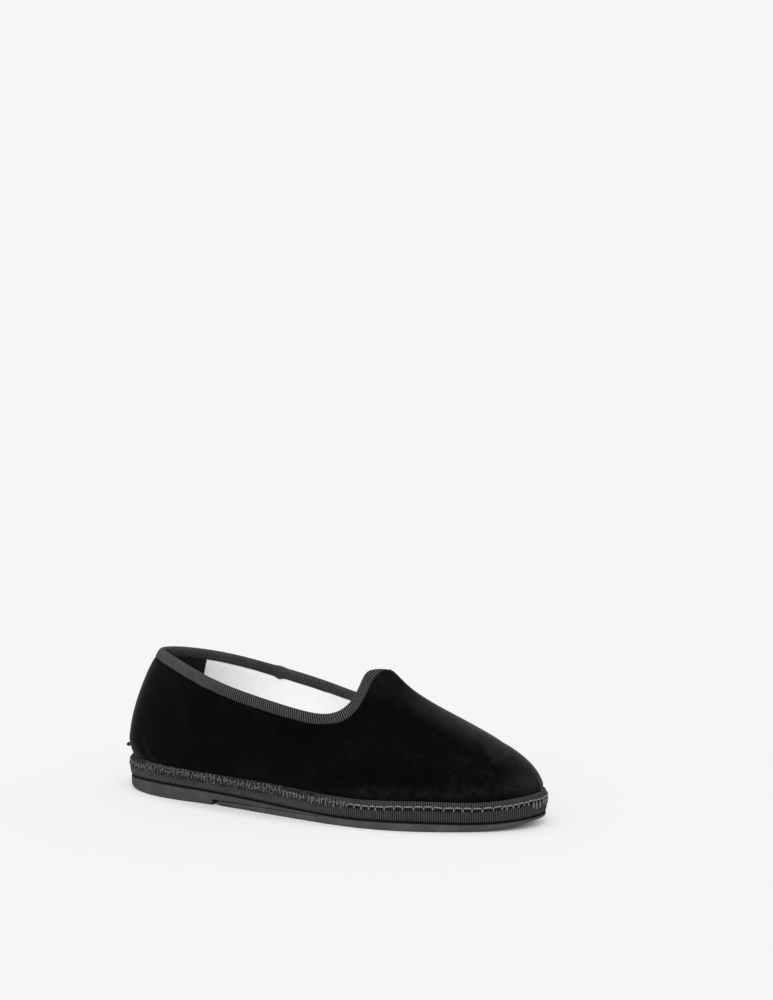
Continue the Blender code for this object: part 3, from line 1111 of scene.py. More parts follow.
@dataclass
class Upper(Assembly):
    """The velvet upper with its cotton lining and the black patch inside the heel.

    Spans that end in _run are shares of the shoe's length, _facing is the upward part of the outward
    direction, and _rise is in shares of the instep height.
    """

    wall: float = 2.0 * MM
    velvet: float = 1.35 * MM
    lining_gap: float = 0.08 * MM
    inside_gap: float = 0.02 * MM
    edge_sink: float = 0.5 * MM
    edge_velvet: float = 0.5 * MM
    edge_gap: float = 0.05 * MM
    edge_lining: float = 0.45 * MM
    edge_step: Span = (-0.25 * MM, 0.15 * MM)
    binding_width: float = 5.2 * MM
    girth: float = 0.6
    columns: int = 480
    rows: int = 64
    row_crowding: float = 1.15
    inside_rows: int = 24
    crease_points: int = 9
    pile: float = 0.45 * MM
    pile_edge: float = 1.5 * MM
    pucker_count: int = 88
    pucker_depth: float = 0.28 * MM
    pucker_height: float = 6.5 * MM
    seam_depth: float = 0.45 * MM
    seam_width: float = 1.3 * MM
    seam_share: float = 0.2
    roll_size: float = 24 * MM
    roll_depth: float = 0.35 * MM
    settle_height: float = 3 * MM
    settled: float = 0.35
    calm_height: float = 7 * MM
    # The lay mark is a painted highlight where the velvet faces the light from above
    highlight_start: float = 0.77
    highlight_full: float = 0.985
    toe_spread: float = 0.14
    toe_spread_run: Span = (0.86, 0.92)
    throat_spread: float = 0.07
    throat_spread_run: Span = (0.76, 0.70)
    vamp_highlight: float = 0.75
    vamp_run: Span = (0.58, 0.85)
    toe_highlight: float = 0.75
    toe_run: Span = (0.915, 0.985)
    toe_facing: Span = (-0.05, 0.50)
    dome_highlight: float = 0.23
    dome_run: Span = (0.585, 0.625)
    dome_rise: Span = (0.74, 1.0)
    crease_shade_depth: float = 1.0 * MM
    ridge_highlight: float = 1.3
    patch_rib: float = 2.3
    patch_thickness: float = 0.35 * MM
    patch_overlap: float = 0.6 * MM
    patch_columns: int = 96
    patch_rows: int = 24
    patch_angle: float = 50.0
    patch_stitch_columns: tuple[int, int] = (3, -4)
    patch_stitch: Span = (0.1, 0.75)
    patch_stitch_points: int = 5
    seed: int = 7

    def __post_init__(self) -> None:
        """Set out the ribs."""
        self.ribs = np.arange(self.columns) * RIBS / self.columns
        self.fan = self.last.fan(self.ribs)
        self.covered = self.binding_width * self.last.binding_scale(self.ribs)

    def place(self, rib: float, share: float) -> Points:
        """A point of the outer face, at a share of the way up a rib."""
        fan = self.last.fan(np.array([rib]))
        return fan.at(share * fan.total[None, :])[0, 0]

    def away_from(self, points: Points, crease: Crease) -> Points:
        """Distance of each point from a crease's line.

        Args:
            points: Places shaped (rows, columns, 3).
            crease: The crease.

        Returns:
            Distances shaped (rows, columns).
        """
        ribs = np.linspace(crease.rib, crease.to_rib, self.crease_points)
        shares = np.linspace(crease.share, crease.to_share, self.crease_points)
        line = [self.place(rib, share) for rib, share in zip(ribs, shares)]
        nearest = np.full(points.shape[:2], np.inf)
        for start, end in zip(line, line[1:]):
            run = end - start
            along = np.clip(((points - start) @ run) / (run @ run), 0, 1)
            gap = np.linalg.norm(points - start - along[..., None] * run, axis=2)
            nearest = np.minimum(nearest, gap)
        return nearest

    def troughs(self, points: Points) -> Points:
        """Depth of the creases at each point.

        Args:
            points: Places shaped (rows, columns, 3).

        Returns:
            Depths shaped (rows, columns), below 0 on a ridge.
        """
        depth = np.zeros(points.shape[:2])
        for crease in CREASES:
            depth += crease.depth * MM * bell(self.away_from(points, crease), 0.0, crease.width * MM)
        return depth

    def relief(self, points: Points, lengths: Points, troughs: Points) -> Points:
        """How far the pile stands out from the form: creases, puckers, back seam and soft waves.

        Args:
            points: Places of the outer face, shaped (rows, columns, 3).
            lengths: Distances from the foot, shaped (rows, columns).
            troughs: Depths of the creases, shaped (rows, columns).

        Returns:
            Heights shaped (rows, columns).
        """
        draws = np.random.default_rng(self.seed)
        rows = draws.normal(0, 1, (self.pucker_count, 1))
        puckers = closed_curve(rows, self.ribs * self.pucker_count / RIBS)[:, 0]
        height = self.pucker_depth * puckers * bell(lengths, 0.0, self.pucker_height) - troughs
        at_heel = points[..., 0] < self.seam_share * self.last.length
        height -= self.seam_depth * at_heel * bell(points[..., 1], 0.0, self.seam_width)
        waves = [noise.noise(Vector(point) / self.roll_size) for point in points.reshape(-1, 3)]
        height += self.roll_depth * np.reshape(waves, height.shape)
        settle = smooth_step(0.0, self.settle_height, lengths)
        below = self.fan.total - self.covered - lengths
        pile_edge = self.pile_edge * self.last.binding_scale(self.ribs) ** 2
        stands = self.pile * settle * smooth_step(0.0, pile_edge, below)
        shown = smooth_step(0.0, self.calm_height, below) * (self.settled + (1 - self.settled) * settle)
        return stands + height * shown

    def nap(self, points: Points) -> Points:
        """Strength of the brushed marks.

        Args:
            points: Places shaped (rows, columns, 3).

        Returns:
            Values from 0 to 1, shaped (rows, columns).
        """
        total = np.zeros(points.shape[:2])
        for mark in NAP_MARKS:
            offset = points - self.place(mark.rib, mark.share)
            flat = bell(np.hypot(offset[..., 0], offset[..., 1]), 0.0, mark.length * MM)
            total += mark.strength * flat * bell(offset[..., 2], 0.0, mark.height * MM)
        return np.clip(total, 0, 1)

    def lay(self, points: Points, normals: Points, troughs: Points) -> Points:
        """Strength of the painted highlight of light from above on the pile: along the top of the vamp, most
        at the toe.

        Args:
            points: Places shaped (rows, columns, 3).
            normals: Outward directions there.
            troughs: Depths of the creases, shaped (rows, columns).

        Returns:
            Values from 0, for no painted highlight, to a little over 1, shaped (rows, columns).
        """
        share = points[..., 0] / self.last.length
        height = points[..., 2] / self.last.instep_height
        facing = normals[..., 2]
        start = self.highlight_start - self.toe_spread * smooth_step(*self.toe_spread_run, share)
        start = start - self.throat_spread * smooth_step(*self.throat_spread_run, share)
        along = self.vamp_highlight + (1 - self.vamp_highlight) * smooth_step(*self.vamp_run, share)
        # Pile that faces up gets the painted highlight of light from above
        top = along * smooth_step(start, self.highlight_full, facing)
        toe = self.toe_highlight * smooth_step(*self.toe_run, share) * smooth_step(*self.toe_facing, facing)
        dome = self.dome_highlight * smooth_step(*self.dome_run, share) * smooth_step(*self.dome_rise, height)
        kept = 1 - (1 - top) * (1 - toe) * (1 - dome)
        # Painted shade in the creases' troughs and a painted highlight on their ridges
        return kept * np.clip(1 - troughs / self.crease_shade_depth, 0, self.ridge_highlight)

    def sheet(self, rows: int) -> tuple[Points, Points]:
        """The outer face without relief, from the sole's top to the rim.

        Args:
            rows: How many rows go from the foot to the binding.

        Returns:
            Places shaped (rows + 4, columns, 3), and the distances from the foot.
        """
        total = self.fan.total
        shares = np.linspace(0, 1, rows)[:, None] ** self.row_crowding
        body = shares * (total - self.covered - self.last.gap)
        edge = total - np.stack([self.covered - self.last.gap, self.covered / 2, np.zeros_like(total)])
        lengths = np.vstack([body, edge])
        points = self.fan.at(lengths)
        foot = points[:1].copy()
        foot[0, :, 2] = self.last.level("sole", foot[0, :, 0]) + self.last.gap
        return np.concatenate([foot, points]), np.vstack([np.zeros_like(total), lengths])

    def wall_mesh(
        self,
        outer: Points,
        inner: Points,
        lengths: tuple[Points, Points],
        marks: dict[str, Points],
    ) -> Mesh:
        """A closed wall from the rows of its two faces.

        Args:
            outer: Rows of the outer face, bottom to top.
            inner: Rows of the inner face, bottom to top.
            lengths: Distances from the foot on the two faces.
            marks: Values for vertex attributes on the outer face.

        Returns:
            The wall.
        """
        up = np.concatenate([lengths[0], lengths[1][::-1]])
        spread = np.broadcast_to(self.ribs / RIBS * self.girth, up.shape)
        chart = wrapped(np.stack([spread, up], axis=2))
        chart[:, -1, 0] += self.girth
        unmarked = np.zeros(inner.shape[:2])
        full = {name: wrapped(np.concatenate([values, unmarked])) for name, values in marks.items()}
        mesh = bmesh.new()
        self.workshop.grid(mesh, wrapped(np.concatenate([outer, inner[::-1]])), chart, full)
        return mesh

    def depths(self, lengths: Points, body: float, edge: float) -> Points:
        """Depths under the form: one for the body, and one where the binding covers the edge."""
        under = smooth_step(*self.edge_step, lengths - (self.fan.total - self.covered))
        return (body + (edge - body) * under)[..., None]

    def build_velvet(self) -> None:
        """The velvet itself, sunk under the binding and pinched at the band."""
        points, lengths = self.sheet(self.rows)
        normals = surface_normals(points)
        troughs = self.troughs(points)
        height = self.relief(points, lengths, troughs)[..., None]
        outer = points + normals * (height - self.depths(lengths, 0.0, self.edge_sink))
        back, back_lengths = self.sheet(self.inside_rows)
        sunk = self.depths(back_lengths, self.velvet, self.edge_sink + self.edge_velvet)
        inner = back - surface_normals(back) * sunk
        # The lay mark is painted light from above; the nap mark is brushed pile
        marks = {"nap": self.nap(points), "lay": self.lay(points, normals, troughs)}
        mesh = self.wall_mesh(outer, inner, (lengths, back_lengths), marks)
        self.workshop.piece("velvet_upper", mesh, BLACK_VELVET, "velvet", "upper")

    def build_lining(self) -> None:
        """The white cotton behind the velvet."""
        points, lengths = self.sheet(self.inside_rows)
        normals = surface_normals(points)
        edge = self.edge_sink + self.edge_velvet
        outside = self.depths(lengths, self.velvet + self.lining_gap, edge + self.edge_gap)
        inside = self.depths(lengths, self.wall - self.inside_gap, edge + self.edge_lining)
        faces = points - normals * outside, points - normals * inside
        mesh = self.wall_mesh(*faces, (lengths, lengths), {})
        self.workshop.piece("cotton_lining", mesh, WHITE_COTTON, "insole_cloth")

    def build_patch(self) -> None:
        """The black cloth sewn inside the heel, with its line of stitches."""
        ribs = np.linspace(-self.patch_rib, self.patch_rib, self.patch_columns)
        fan = self.last.fan(ribs)
        tall = fan.total - self.binding_width + self.patch_overlap
        lengths = np.linspace(0, 1, self.patch_rows)[:, None] * tall
        points = fan.at(lengths)
        normals = unit(np.cross(np.gradient(points, axis=1), np.gradient(points, axis=0)))
        faces = [points - normals * depth for depth in (self.wall, self.wall + self.patch_thickness)]
        rows = closed(np.concatenate([faces[0], faces[1][::-1]]), 0)
        up = closed(np.concatenate([lengths, lengths[::-1]]), 0)
        spread = np.broadcast_to(ribs / RIBS * self.girth, up.shape)
        mesh = bmesh.new()
        self.workshop.grid(mesh, rows, np.stack([spread, up], axis=2))
        self.workshop.piece("heel_patch", mesh, BLACK_COTTON, "velvet", sharp=self.patch_angle)
        self.build_patch_stitches(faces[1], normals)

    def build_patch_stitches(self, face: Points, normals: Points) -> None:
        """Short stitches down both front edges of the heel patch.

        Args:
            face: The patch's inner face, shaped (rows, columns, 3).
            normals: Outward directions there.
        """
        mesh = bmesh.new()
        lift = FINE_STITCH_ARCH * arch(self.patch_stitch_points)[:, None]
        shares = np.linspace(*self.patch_stitch, self.patch_stitch_points)[:, None]
        for column in self.patch_stitch_columns:
            for row in range(1, len(face) - 2):
                start, end = face[row, column], face[row + 1, column]
                inward = np.broadcast_to(-normals[row, column], (len(lift), 3))
                path = start + shares * (end - start) + inward * lift
                self.workshop.tube(mesh, path, inward, FINE_STITCH_RADIUS, FINE_STITCH_SIDES)
        self.workshop.piece("heel_patch_stitches", mesh, BLACK_THREAD)

    def build(self) -> None:
        """Make the three layers."""
        self.build_velvet()
        self.build_lining()
        self.build_patch()


class SectionPoint(NamedTuple):
    """A corner of the binding's section: millimetres out from the upper's face and up from its edge.

    Its shown is 1 where the ribs show, and 0 where the ribbon turns in.
    """

    out: float
    up: float
    shown: float


BINDING_SECTION = (
    SectionPoint(-0.25, -5.10, 0),
    SectionPoint(0.10, -5.25, 0),
    SectionPoint(0.40, -5.00, 1),
    SectionPoint(0.54, -4.20, 1),
    SectionPoint(0.60, -3.10, 1),
    SectionPoint(0.60, -2.00, 1),
    SectionPoint(0.54, -0.80, 1),
    SectionPoint(0.34, 0.35, 1),
    SectionPoint(-0.20, 1.05, 1),
    SectionPoint(-1.00, 1.30, 1),
    SectionPoint(-1.80, 1.05, 1),
    SectionPoint(-2.30, 0.35, 1),
    SectionPoint(-2.46, -0.80, 1),
    SectionPoint(-2.50, -2.00, 1),
    SectionPoint(-2.50, -3.10, 1),
    SectionPoint(-2.46, -4.00, 1),
    SectionPoint(-2.36, -4.75, 1),
    SectionPoint(-2.12, -5.00, 0),
    SectionPoint(-1.80, -4.85, 0),
    SectionPoint(-1.78, -1.00, 0),
    SectionPoint(-1.00, 0.30, 0),
    SectionPoint(-0.22, -1.00, 0),
)


@dataclass
class CollarBinding(Assembly):
    """The ribbed ribbon folded over the upper's edge, with its join and its inner row of stitches.

    Spans that end in _run are rib numbers.
    """

    rib_pitch: float = 1.27 * MM
    columns_per_rib: int = 6
    rib_height: float = 0.14 * MM
    strip_step: float = 1.6 * MM
    strip_rows: int = 5
    waver: float = 0.10 * MM
    waver_count: int = 60
    low_edge: Span = (-3.4 * MM, -4.8 * MM)
    join_rib: float = 19.75
    join_breadth: float = 2.6 * MM
    join_height: float = 0.45 * MM
    join_dip: float = 1.0 * MM
    heel_plain: float = 0.7
    heel_run: Span = (4.6, 2.6)
    inner_plain: float = 0.4
    inner_start_run: Span = (12.5, 14.5)
    inner_end_run: Span = (24.0, 23.0)
    stitch_up: float = -3.9 * MM
    stitch_depth: float = 2.46 * MM
    stitch_length: float = 2.2 * MM
    stitch_pitch: float = 3.4 * MM
    stitch_points: int = 6
    seed: int = 11

    def __post_init__(self) -> None:
        """Set out the ribs at equal steps along the edge."""
        self.loop = Loop(self.last.rim)
        self.rib_count = round(self.loop.length / self.rib_pitch)
        count = self.rib_count * self.columns_per_rib
        self.arcs = np.arange(count) * self.loop.length / count

    def faces(self, arcs: Points, ups: Points) -> tuple[Points, Points, Points]:
        """Places on the upper's face near its edge.

        Args:
            arcs: Distances from the heel along the edge.
            ups: Heights over the edge, mostly below 0.

        Returns:
            Places shaped (ups, arcs, 3), outward directions, and the way up at the edge.
        """
        ribs = self.loop.ribs_at(arcs)
        fan = self.last.fan(ribs)
        below = np.minimum(ups, 0.0)[:, None] * self.last.binding_scale(ribs)
        points = fan.at(fan.total + below)
        deepest = self.strip_step * (self.strip_rows - 1)
        strip = fan.at(fan.total - np.linspace(deepest, 0.0, self.strip_rows)[:, None])
        normals = surface_normals(strip)
        rows = np.clip((below + deepest) / self.strip_step, 0, self.strip_rows - 1)
        low = np.floor(rows).astype(int).clip(0, self.strip_rows - 2)
        late = (rows - low)[..., None]
        column = np.arange(len(arcs))
        out = unit(normals[low, column] * (1 - late) + normals[low + 1, column] * late)
        rise = unit(strip[-1] - strip[-2])
        return points + np.maximum(ups, 0.0)[:, None, None] * rise, out, rise

    def worn(self, ribs: Points) -> Points:
        """How plain the ribbon is worn: most round the heel, and less along the inner side.

        Args:
            ribs: Rib numbers.

        Returns:
            Values from 0 to 1.
        """
        heel = self.heel_plain * smooth_step(*self.heel_run, np.minimum(ribs, RIBS - ribs))
        inner = smooth_step(*self.inner_start_run, ribs) * smooth_step(*self.inner_end_run, ribs)
        return np.maximum(heel, self.inner_plain * inner)

    def build_ribbon(self) -> None:
        """The ribbon: a thin fold with real cross ribs."""
        outs, ups, shown = np.array(BINDING_SECTION).T
        section = np.column_stack([outs, ups]) * MM
        outs, ups = section.T
        points, normals, rise = self.faces(self.arcs, ups)
        draws = np.random.default_rng(self.seed)
        rows = draws.normal(0, 1, (self.waver_count, 1))
        waver = self.waver * closed_curve(rows, self.arcs / self.loop.length * self.waver_count)[:, 0]
        join = bell(self.arcs, self.loop.arc_of(self.join_rib), self.join_breadth)
        shift = smooth_step(*self.low_edge, ups)[:, None] * (waver - self.join_dip * join)
        ribs = self.loop.ribs_at(self.arcs)
        plain = self.worn(ribs)
        number = np.arange(len(self.arcs)) / self.columns_per_rib
        ridge = self.rib_height * (1 - plain) * np.cos(TURN * number) + self.join_height * join
        travel = np.roll(section, -1, axis=0) - np.roll(section, 1, axis=0)
        facing = unit(np.column_stack([travel[:, 1], -travel[:, 0]]))
        pressed = self.last.binding_scale(ribs)
        lift = shown[:, None] * ridge * pressed
        out = np.where(outs[:, None] > 0, outs[:, None] * pressed, outs[:, None]) + lift * facing[:, :1]
        up = shift + lift * facing[:, 1:]
        made = points + normals * out[..., None] + rise * up[..., None]
        mesh = bmesh.new()
        marks = {"plain": wrapped(np.broadcast_to(plain, made.shape[:2]))}
        chart = ribbon_chart(number, distances(section), self.rib_count)
        self.workshop.grid(mesh, wrapped(made), chart, marks)
        self.workshop.piece("collar_ribbon", mesh, COLLAR_GROSGRAIN, "collar_ribbon", "collar_binding")

    def build_stitches(self) -> None:
        """The row of stitches along the ribbon's inner leg."""
        mesh = bmesh.new()
        count = round(self.loop.length / self.stitch_pitch)
        lift = (self.stitch_depth + FINE_STITCH_ARCH * arch(self.stitch_points))[:, None]
        # One point more at each end, so that the directions at the ends are true
        steps = np.arange(-1, self.stitch_points + 1) / (self.stitch_points - 1)
        for number in range(count):
            arcs = number * self.loop.length / count + steps * self.stitch_length
            points, normals, _ = self.faces(arcs, np.array([self.stitch_up]))
            path, out = points[0, 1:-1], -normals[0, 1:-1]
            self.workshop.tube(mesh, path + out * lift, out, FINE_STITCH_RADIUS, FINE_STITCH_SIDES)
        self.workshop.piece("collar_stitches", mesh, BLACK_THREAD)

    def build(self) -> None:
        """Make the ribbon and its stitches."""
        self.build_ribbon()
        self.build_stitches()


class BandPoint(NamedTuple):
    """A corner of the band's section: share of its height, inset in millimetres, and 1 if it shows."""

    height: float
    inset: float
    shown: float


BAND_SECTION = (
    BandPoint(0.00, 2.20, 0),
    BandPoint(0.00, 1.30, 0),
    BandPoint(0.03, 0.86, 1),
    BandPoint(0.12, 0.46, 1),
    BandPoint(0.24, 0.20, 1),
    BandPoint(0.37, 0.05, 1),
    BandPoint(0.50, 0.00, 1),
    BandPoint(0.63, 0.05, 1),
    BandPoint(0.76, 0.20, 1),
    BandPoint(0.86, 0.44, 1),
    BandPoint(0.94, 0.76, 1),
    BandPoint(0.99, 1.15, 1),
    BandPoint(1.00, 1.60, 1),
    BandPoint(1.00, 2.20, 0),
)


@dataclass
class SoleBand(Assembly):
    """The ribbed ribbon round the sole's edge, with its rolled fold beside the heel.

    The long floats of the front pull a hollow into it, with painted shadow under them. Round the heel, from
    rib tangle_from to rib tangle_to, it is brushed plain and has painted shade in spots under a tangle of
    thread.
    """

    rib_pitch: float = 1.22 * MM
    columns_per_rib: int = 6
    rib_height: float = 0.13 * MM
    usual_height: float = 12 * MM
    pulled_heights: Triple = (0.52, 0.71, 0.02)
    upper_heights: tuple[float, ...] = (0.73, 0.81, 0.90, 0.965)
    tangle_from: float = 17.1
    tangle_to: float = 6.9
    tangle_fade: float = 0.8
    brushed: float = 0.6
    shade_spot_size: float = 0.9 * MM
    shade_spot_edges: Span = (-0.02, 0.20)
    tangle_shade_drops: Span = (7.4 * MM, 4.4 * MM)
    least_tangle_shade: float = 0.42
    hollow: float = 4.3 * MM
    hollow_width: float = 0.75 * MM
    hollow_depth: float = 0.45 * MM
    hollow_shade: float = 0.95
    foot_rises: Span = (0.60 * MM, 0.15 * MM)
    foot_shade: float = 0.9
    fold_start: float = 2.2
    fold_end: float = 3.3
    fold_points: int = 40
    fold_drop: float = 0.9 * MM
    fold_lift: float = 0.15 * MM
    fold_radius: float = 0.75 * MM

    def __post_init__(self) -> None:
        """Set out the ribs at equal steps along the outline."""
        self.loop = Loop(self.last.outline_points)
        self.rib_count = round(self.loop.length / self.rib_pitch)
        self.face = [corner for corner in BAND_SECTION if corner.shown]

    def edges(self, ribs: Points) -> tuple[Points, Points, Points]:
        """Plan points of the outer face, and the heights of the lower and the upper edge there."""
        plan = self.last.outline_points(ribs)
        return plan, self.last.level("sole", plan[:, 0]) + self.last.gap, self.last.level("band", plan[:, 0])

    def section(self) -> list[BandPoint]:
        """The band's section with more corners on its face, closest where the floats pull it in.

        Returns:
            The corners, from the bottom up.
        """
        known = [corner.height for corner in self.face]
        more = np.arange(*self.pulled_heights)
        heights = np.unique(np.concatenate([known, more, self.upper_heights]).round(4))
        insets = np.interp(heights, known, [corner.inset for corner in self.face])
        fine = [BandPoint(height, inset, 1) for height, inset in zip(heights, insets)]
        return [*BAND_SECTION[:2], *fine, BAND_SECTION[-1]]

    def tangled(self, ribs: Points) -> Points:
        """1 under the tangled thread of the rear and 0 in front."""
        outer = smooth_step(self.tangle_to, self.tangle_to - self.tangle_fade, ribs)
        return np.maximum(outer, smooth_step(self.tangle_from, self.tangle_from + self.tangle_fade, ribs))

    def build_ribbon(self) -> None:
        """The ribbon, bulged between its edges, with real upright ribs."""
        count = self.rib_count * self.columns_per_rib
        ribs = self.loop.ribs_at(np.arange(count) * self.loop.length / count)
        number = np.arange(count) / self.columns_per_rib
        tangled = self.tangled(ribs)
        plain = self.brushed * tangled
        ridge = self.rib_height * (np.cos(TURN * number) - 1) * (1 - plain)
        rows, across, shade = [], [], []
        middle, bottom, top = self.edges(ribs)
        for corner in self.section():
            drop = (1 - corner.height) * (top - bottom)
            # Painted shadow under the front floats, where they pull the hollow in
            pulled = corner.shown * bell(drop, self.hollow, self.hollow_width) * (1 - tangled)
            inset = corner.inset * MM + self.hollow_depth * pulled - corner.shown * ridge
            plan, _ = self.last.outline(ribs, inset)
            rows.append(np.column_stack([plan, top - drop]))
            across.append(corner.height * self.usual_height - corner.inset * MM)
            # Painted shade in spots between the tangled threads of the rear
            spots = np.column_stack([middle, drop]) / self.shade_spot_size
            shade_spots = smooth_step(*self.shade_spot_edges, np.array([noise.noise(Vector(spot)) for spot in spots]))
            dark = tangled * smooth_step(*self.tangle_shade_drops, drop)
            dark = dark * (self.least_tangle_shade + (1 - self.least_tangle_shade) * shade_spots)
            # Painted shade along the bottom edge, in the seam with the rubber
            foot = self.foot_shade * smooth_step(*self.foot_rises, top - bottom - drop)
            shade.append(np.maximum.reduce([self.hollow_shade * pulled, dark, foot]))
        mesh = bmesh.new()
        marks = {
            "shade": wrapped(np.stack(shade)),
            "plain": wrapped(np.broadcast_to(plain, (len(rows), count))),
        }
        chart = ribbon_chart(number, np.array(across), self.rib_count)
        self.workshop.grid(mesh, wrapped(np.stack(rows)), chart, marks)
        self.workshop.piece("band_ribbon", mesh, BAND_GROSGRAIN, "band_ribbon", "sole_band")

    def lay(self, mesh: Mesh, arcs: Points, drops: Points, lift: Amount, radius: float) -> None:
        """Lay a thread on the ribbon's outer face.

        Args:
            mesh: The mesh that gets it.
            arcs: Distances from the heel along the outline.
            drops: Distances below the ribbon's top.
            lift: Distances of its middle from the ribbon's face.
            radius: Half its thickness.
        """
        ribs = self.loop.ribs_at(arcs)
        _, bottom, top = self.edges(ribs)
        heights = [corner.height for corner in self.face]
        insets = [corner.inset * MM for corner in self.face]
        inset = np.interp(1 - drops / (top - bottom), heights, insets)
        plan, outward = self.last.outline(ribs, inset - lift)
        outward = np.column_stack([outward, np.zeros(len(ribs))])
        self.workshop.tube(mesh, np.column_stack([plan, top - drops]), outward, radius)

    def build_fold(self) -> None:
        """The ribbon's edge where it is rolled over beside the heel."""
        ends = self.loop.arc_of(self.fold_start), self.loop.arc_of(self.fold_end)
        arcs = np.linspace(*ends, self.fold_points)
        mesh = bmesh.new()
        self.lay(mesh, arcs, np.full(len(arcs), self.fold_drop), self.fold_lift, self.fold_radius)
        self.workshop.piece("band_fold", mesh, FOLD_GROSGRAIN, "band_ribbon")

    def build(self) -> None:
        """Make the ribbon and its fold."""
        self.build_ribbon()
        self.build_fold()


class Stitch(Enum):
    """How the thread lies along a run of the band."""

    LOOPED = "a chain of small loops over thin legs, with crooked ends"
    TICKED = "upright legs under a loose chain"
    FLOATED = "arched floats, with a leg at each end"
    LEGGED = "short floats with long legs"


class StitchRun(NamedTuple):
    """A stretch of the band sewn in one way.

    It runs between two ribs. The pitch and the drop below the band's top are in millimetres.
    """

    start: float
    end: float
    way: Stitch
    pitch: float
    drop: float


STITCH_RUNS = (
    StitchRun(6.9, 7.6, Stitch.FLOATED, 4.4, 3.0),
    StitchRun(7.6, 10.1, Stitch.FLOATED, 5.7, 2.8),
    StitchRun(10.1, 11.2, Stitch.FLOATED, 3.4, 3.0),
    StitchRun(11.2, 12.8, Stitch.LEGGED, 2.8, 3.2),
    StitchRun(12.8, 13.9, Stitch.FLOATED, 3.4, 3.0),
    StitchRun(13.9, 16.4, Stitch.FLOATED, 5.7, 2.8),
    StitchRun(16.4, 17.1, Stitch.FLOATED, 4.4, 3.0),
    StitchRun(17.1, 18.4, Stitch.TICKED, 2.4, 1.6),
    StitchRun(18.4, 19.8, Stitch.LOOPED, 2.8, 0.6),
    StitchRun(19.8, 21.4, Stitch.LOOPED, 2.8, 0.3),
    StitchRun(21.4, 26.6, Stitch.LOOPED, 2.8, 1.5),
    StitchRun(26.6, 28.2, Stitch.LOOPED, 2.8, 0.3),
    StitchRun(28.2, 29.6, Stitch.LOOPED, 2.8, 0.6),
    StitchRun(29.6, 30.9, Stitch.TICKED, 2.4, 1.6),
)


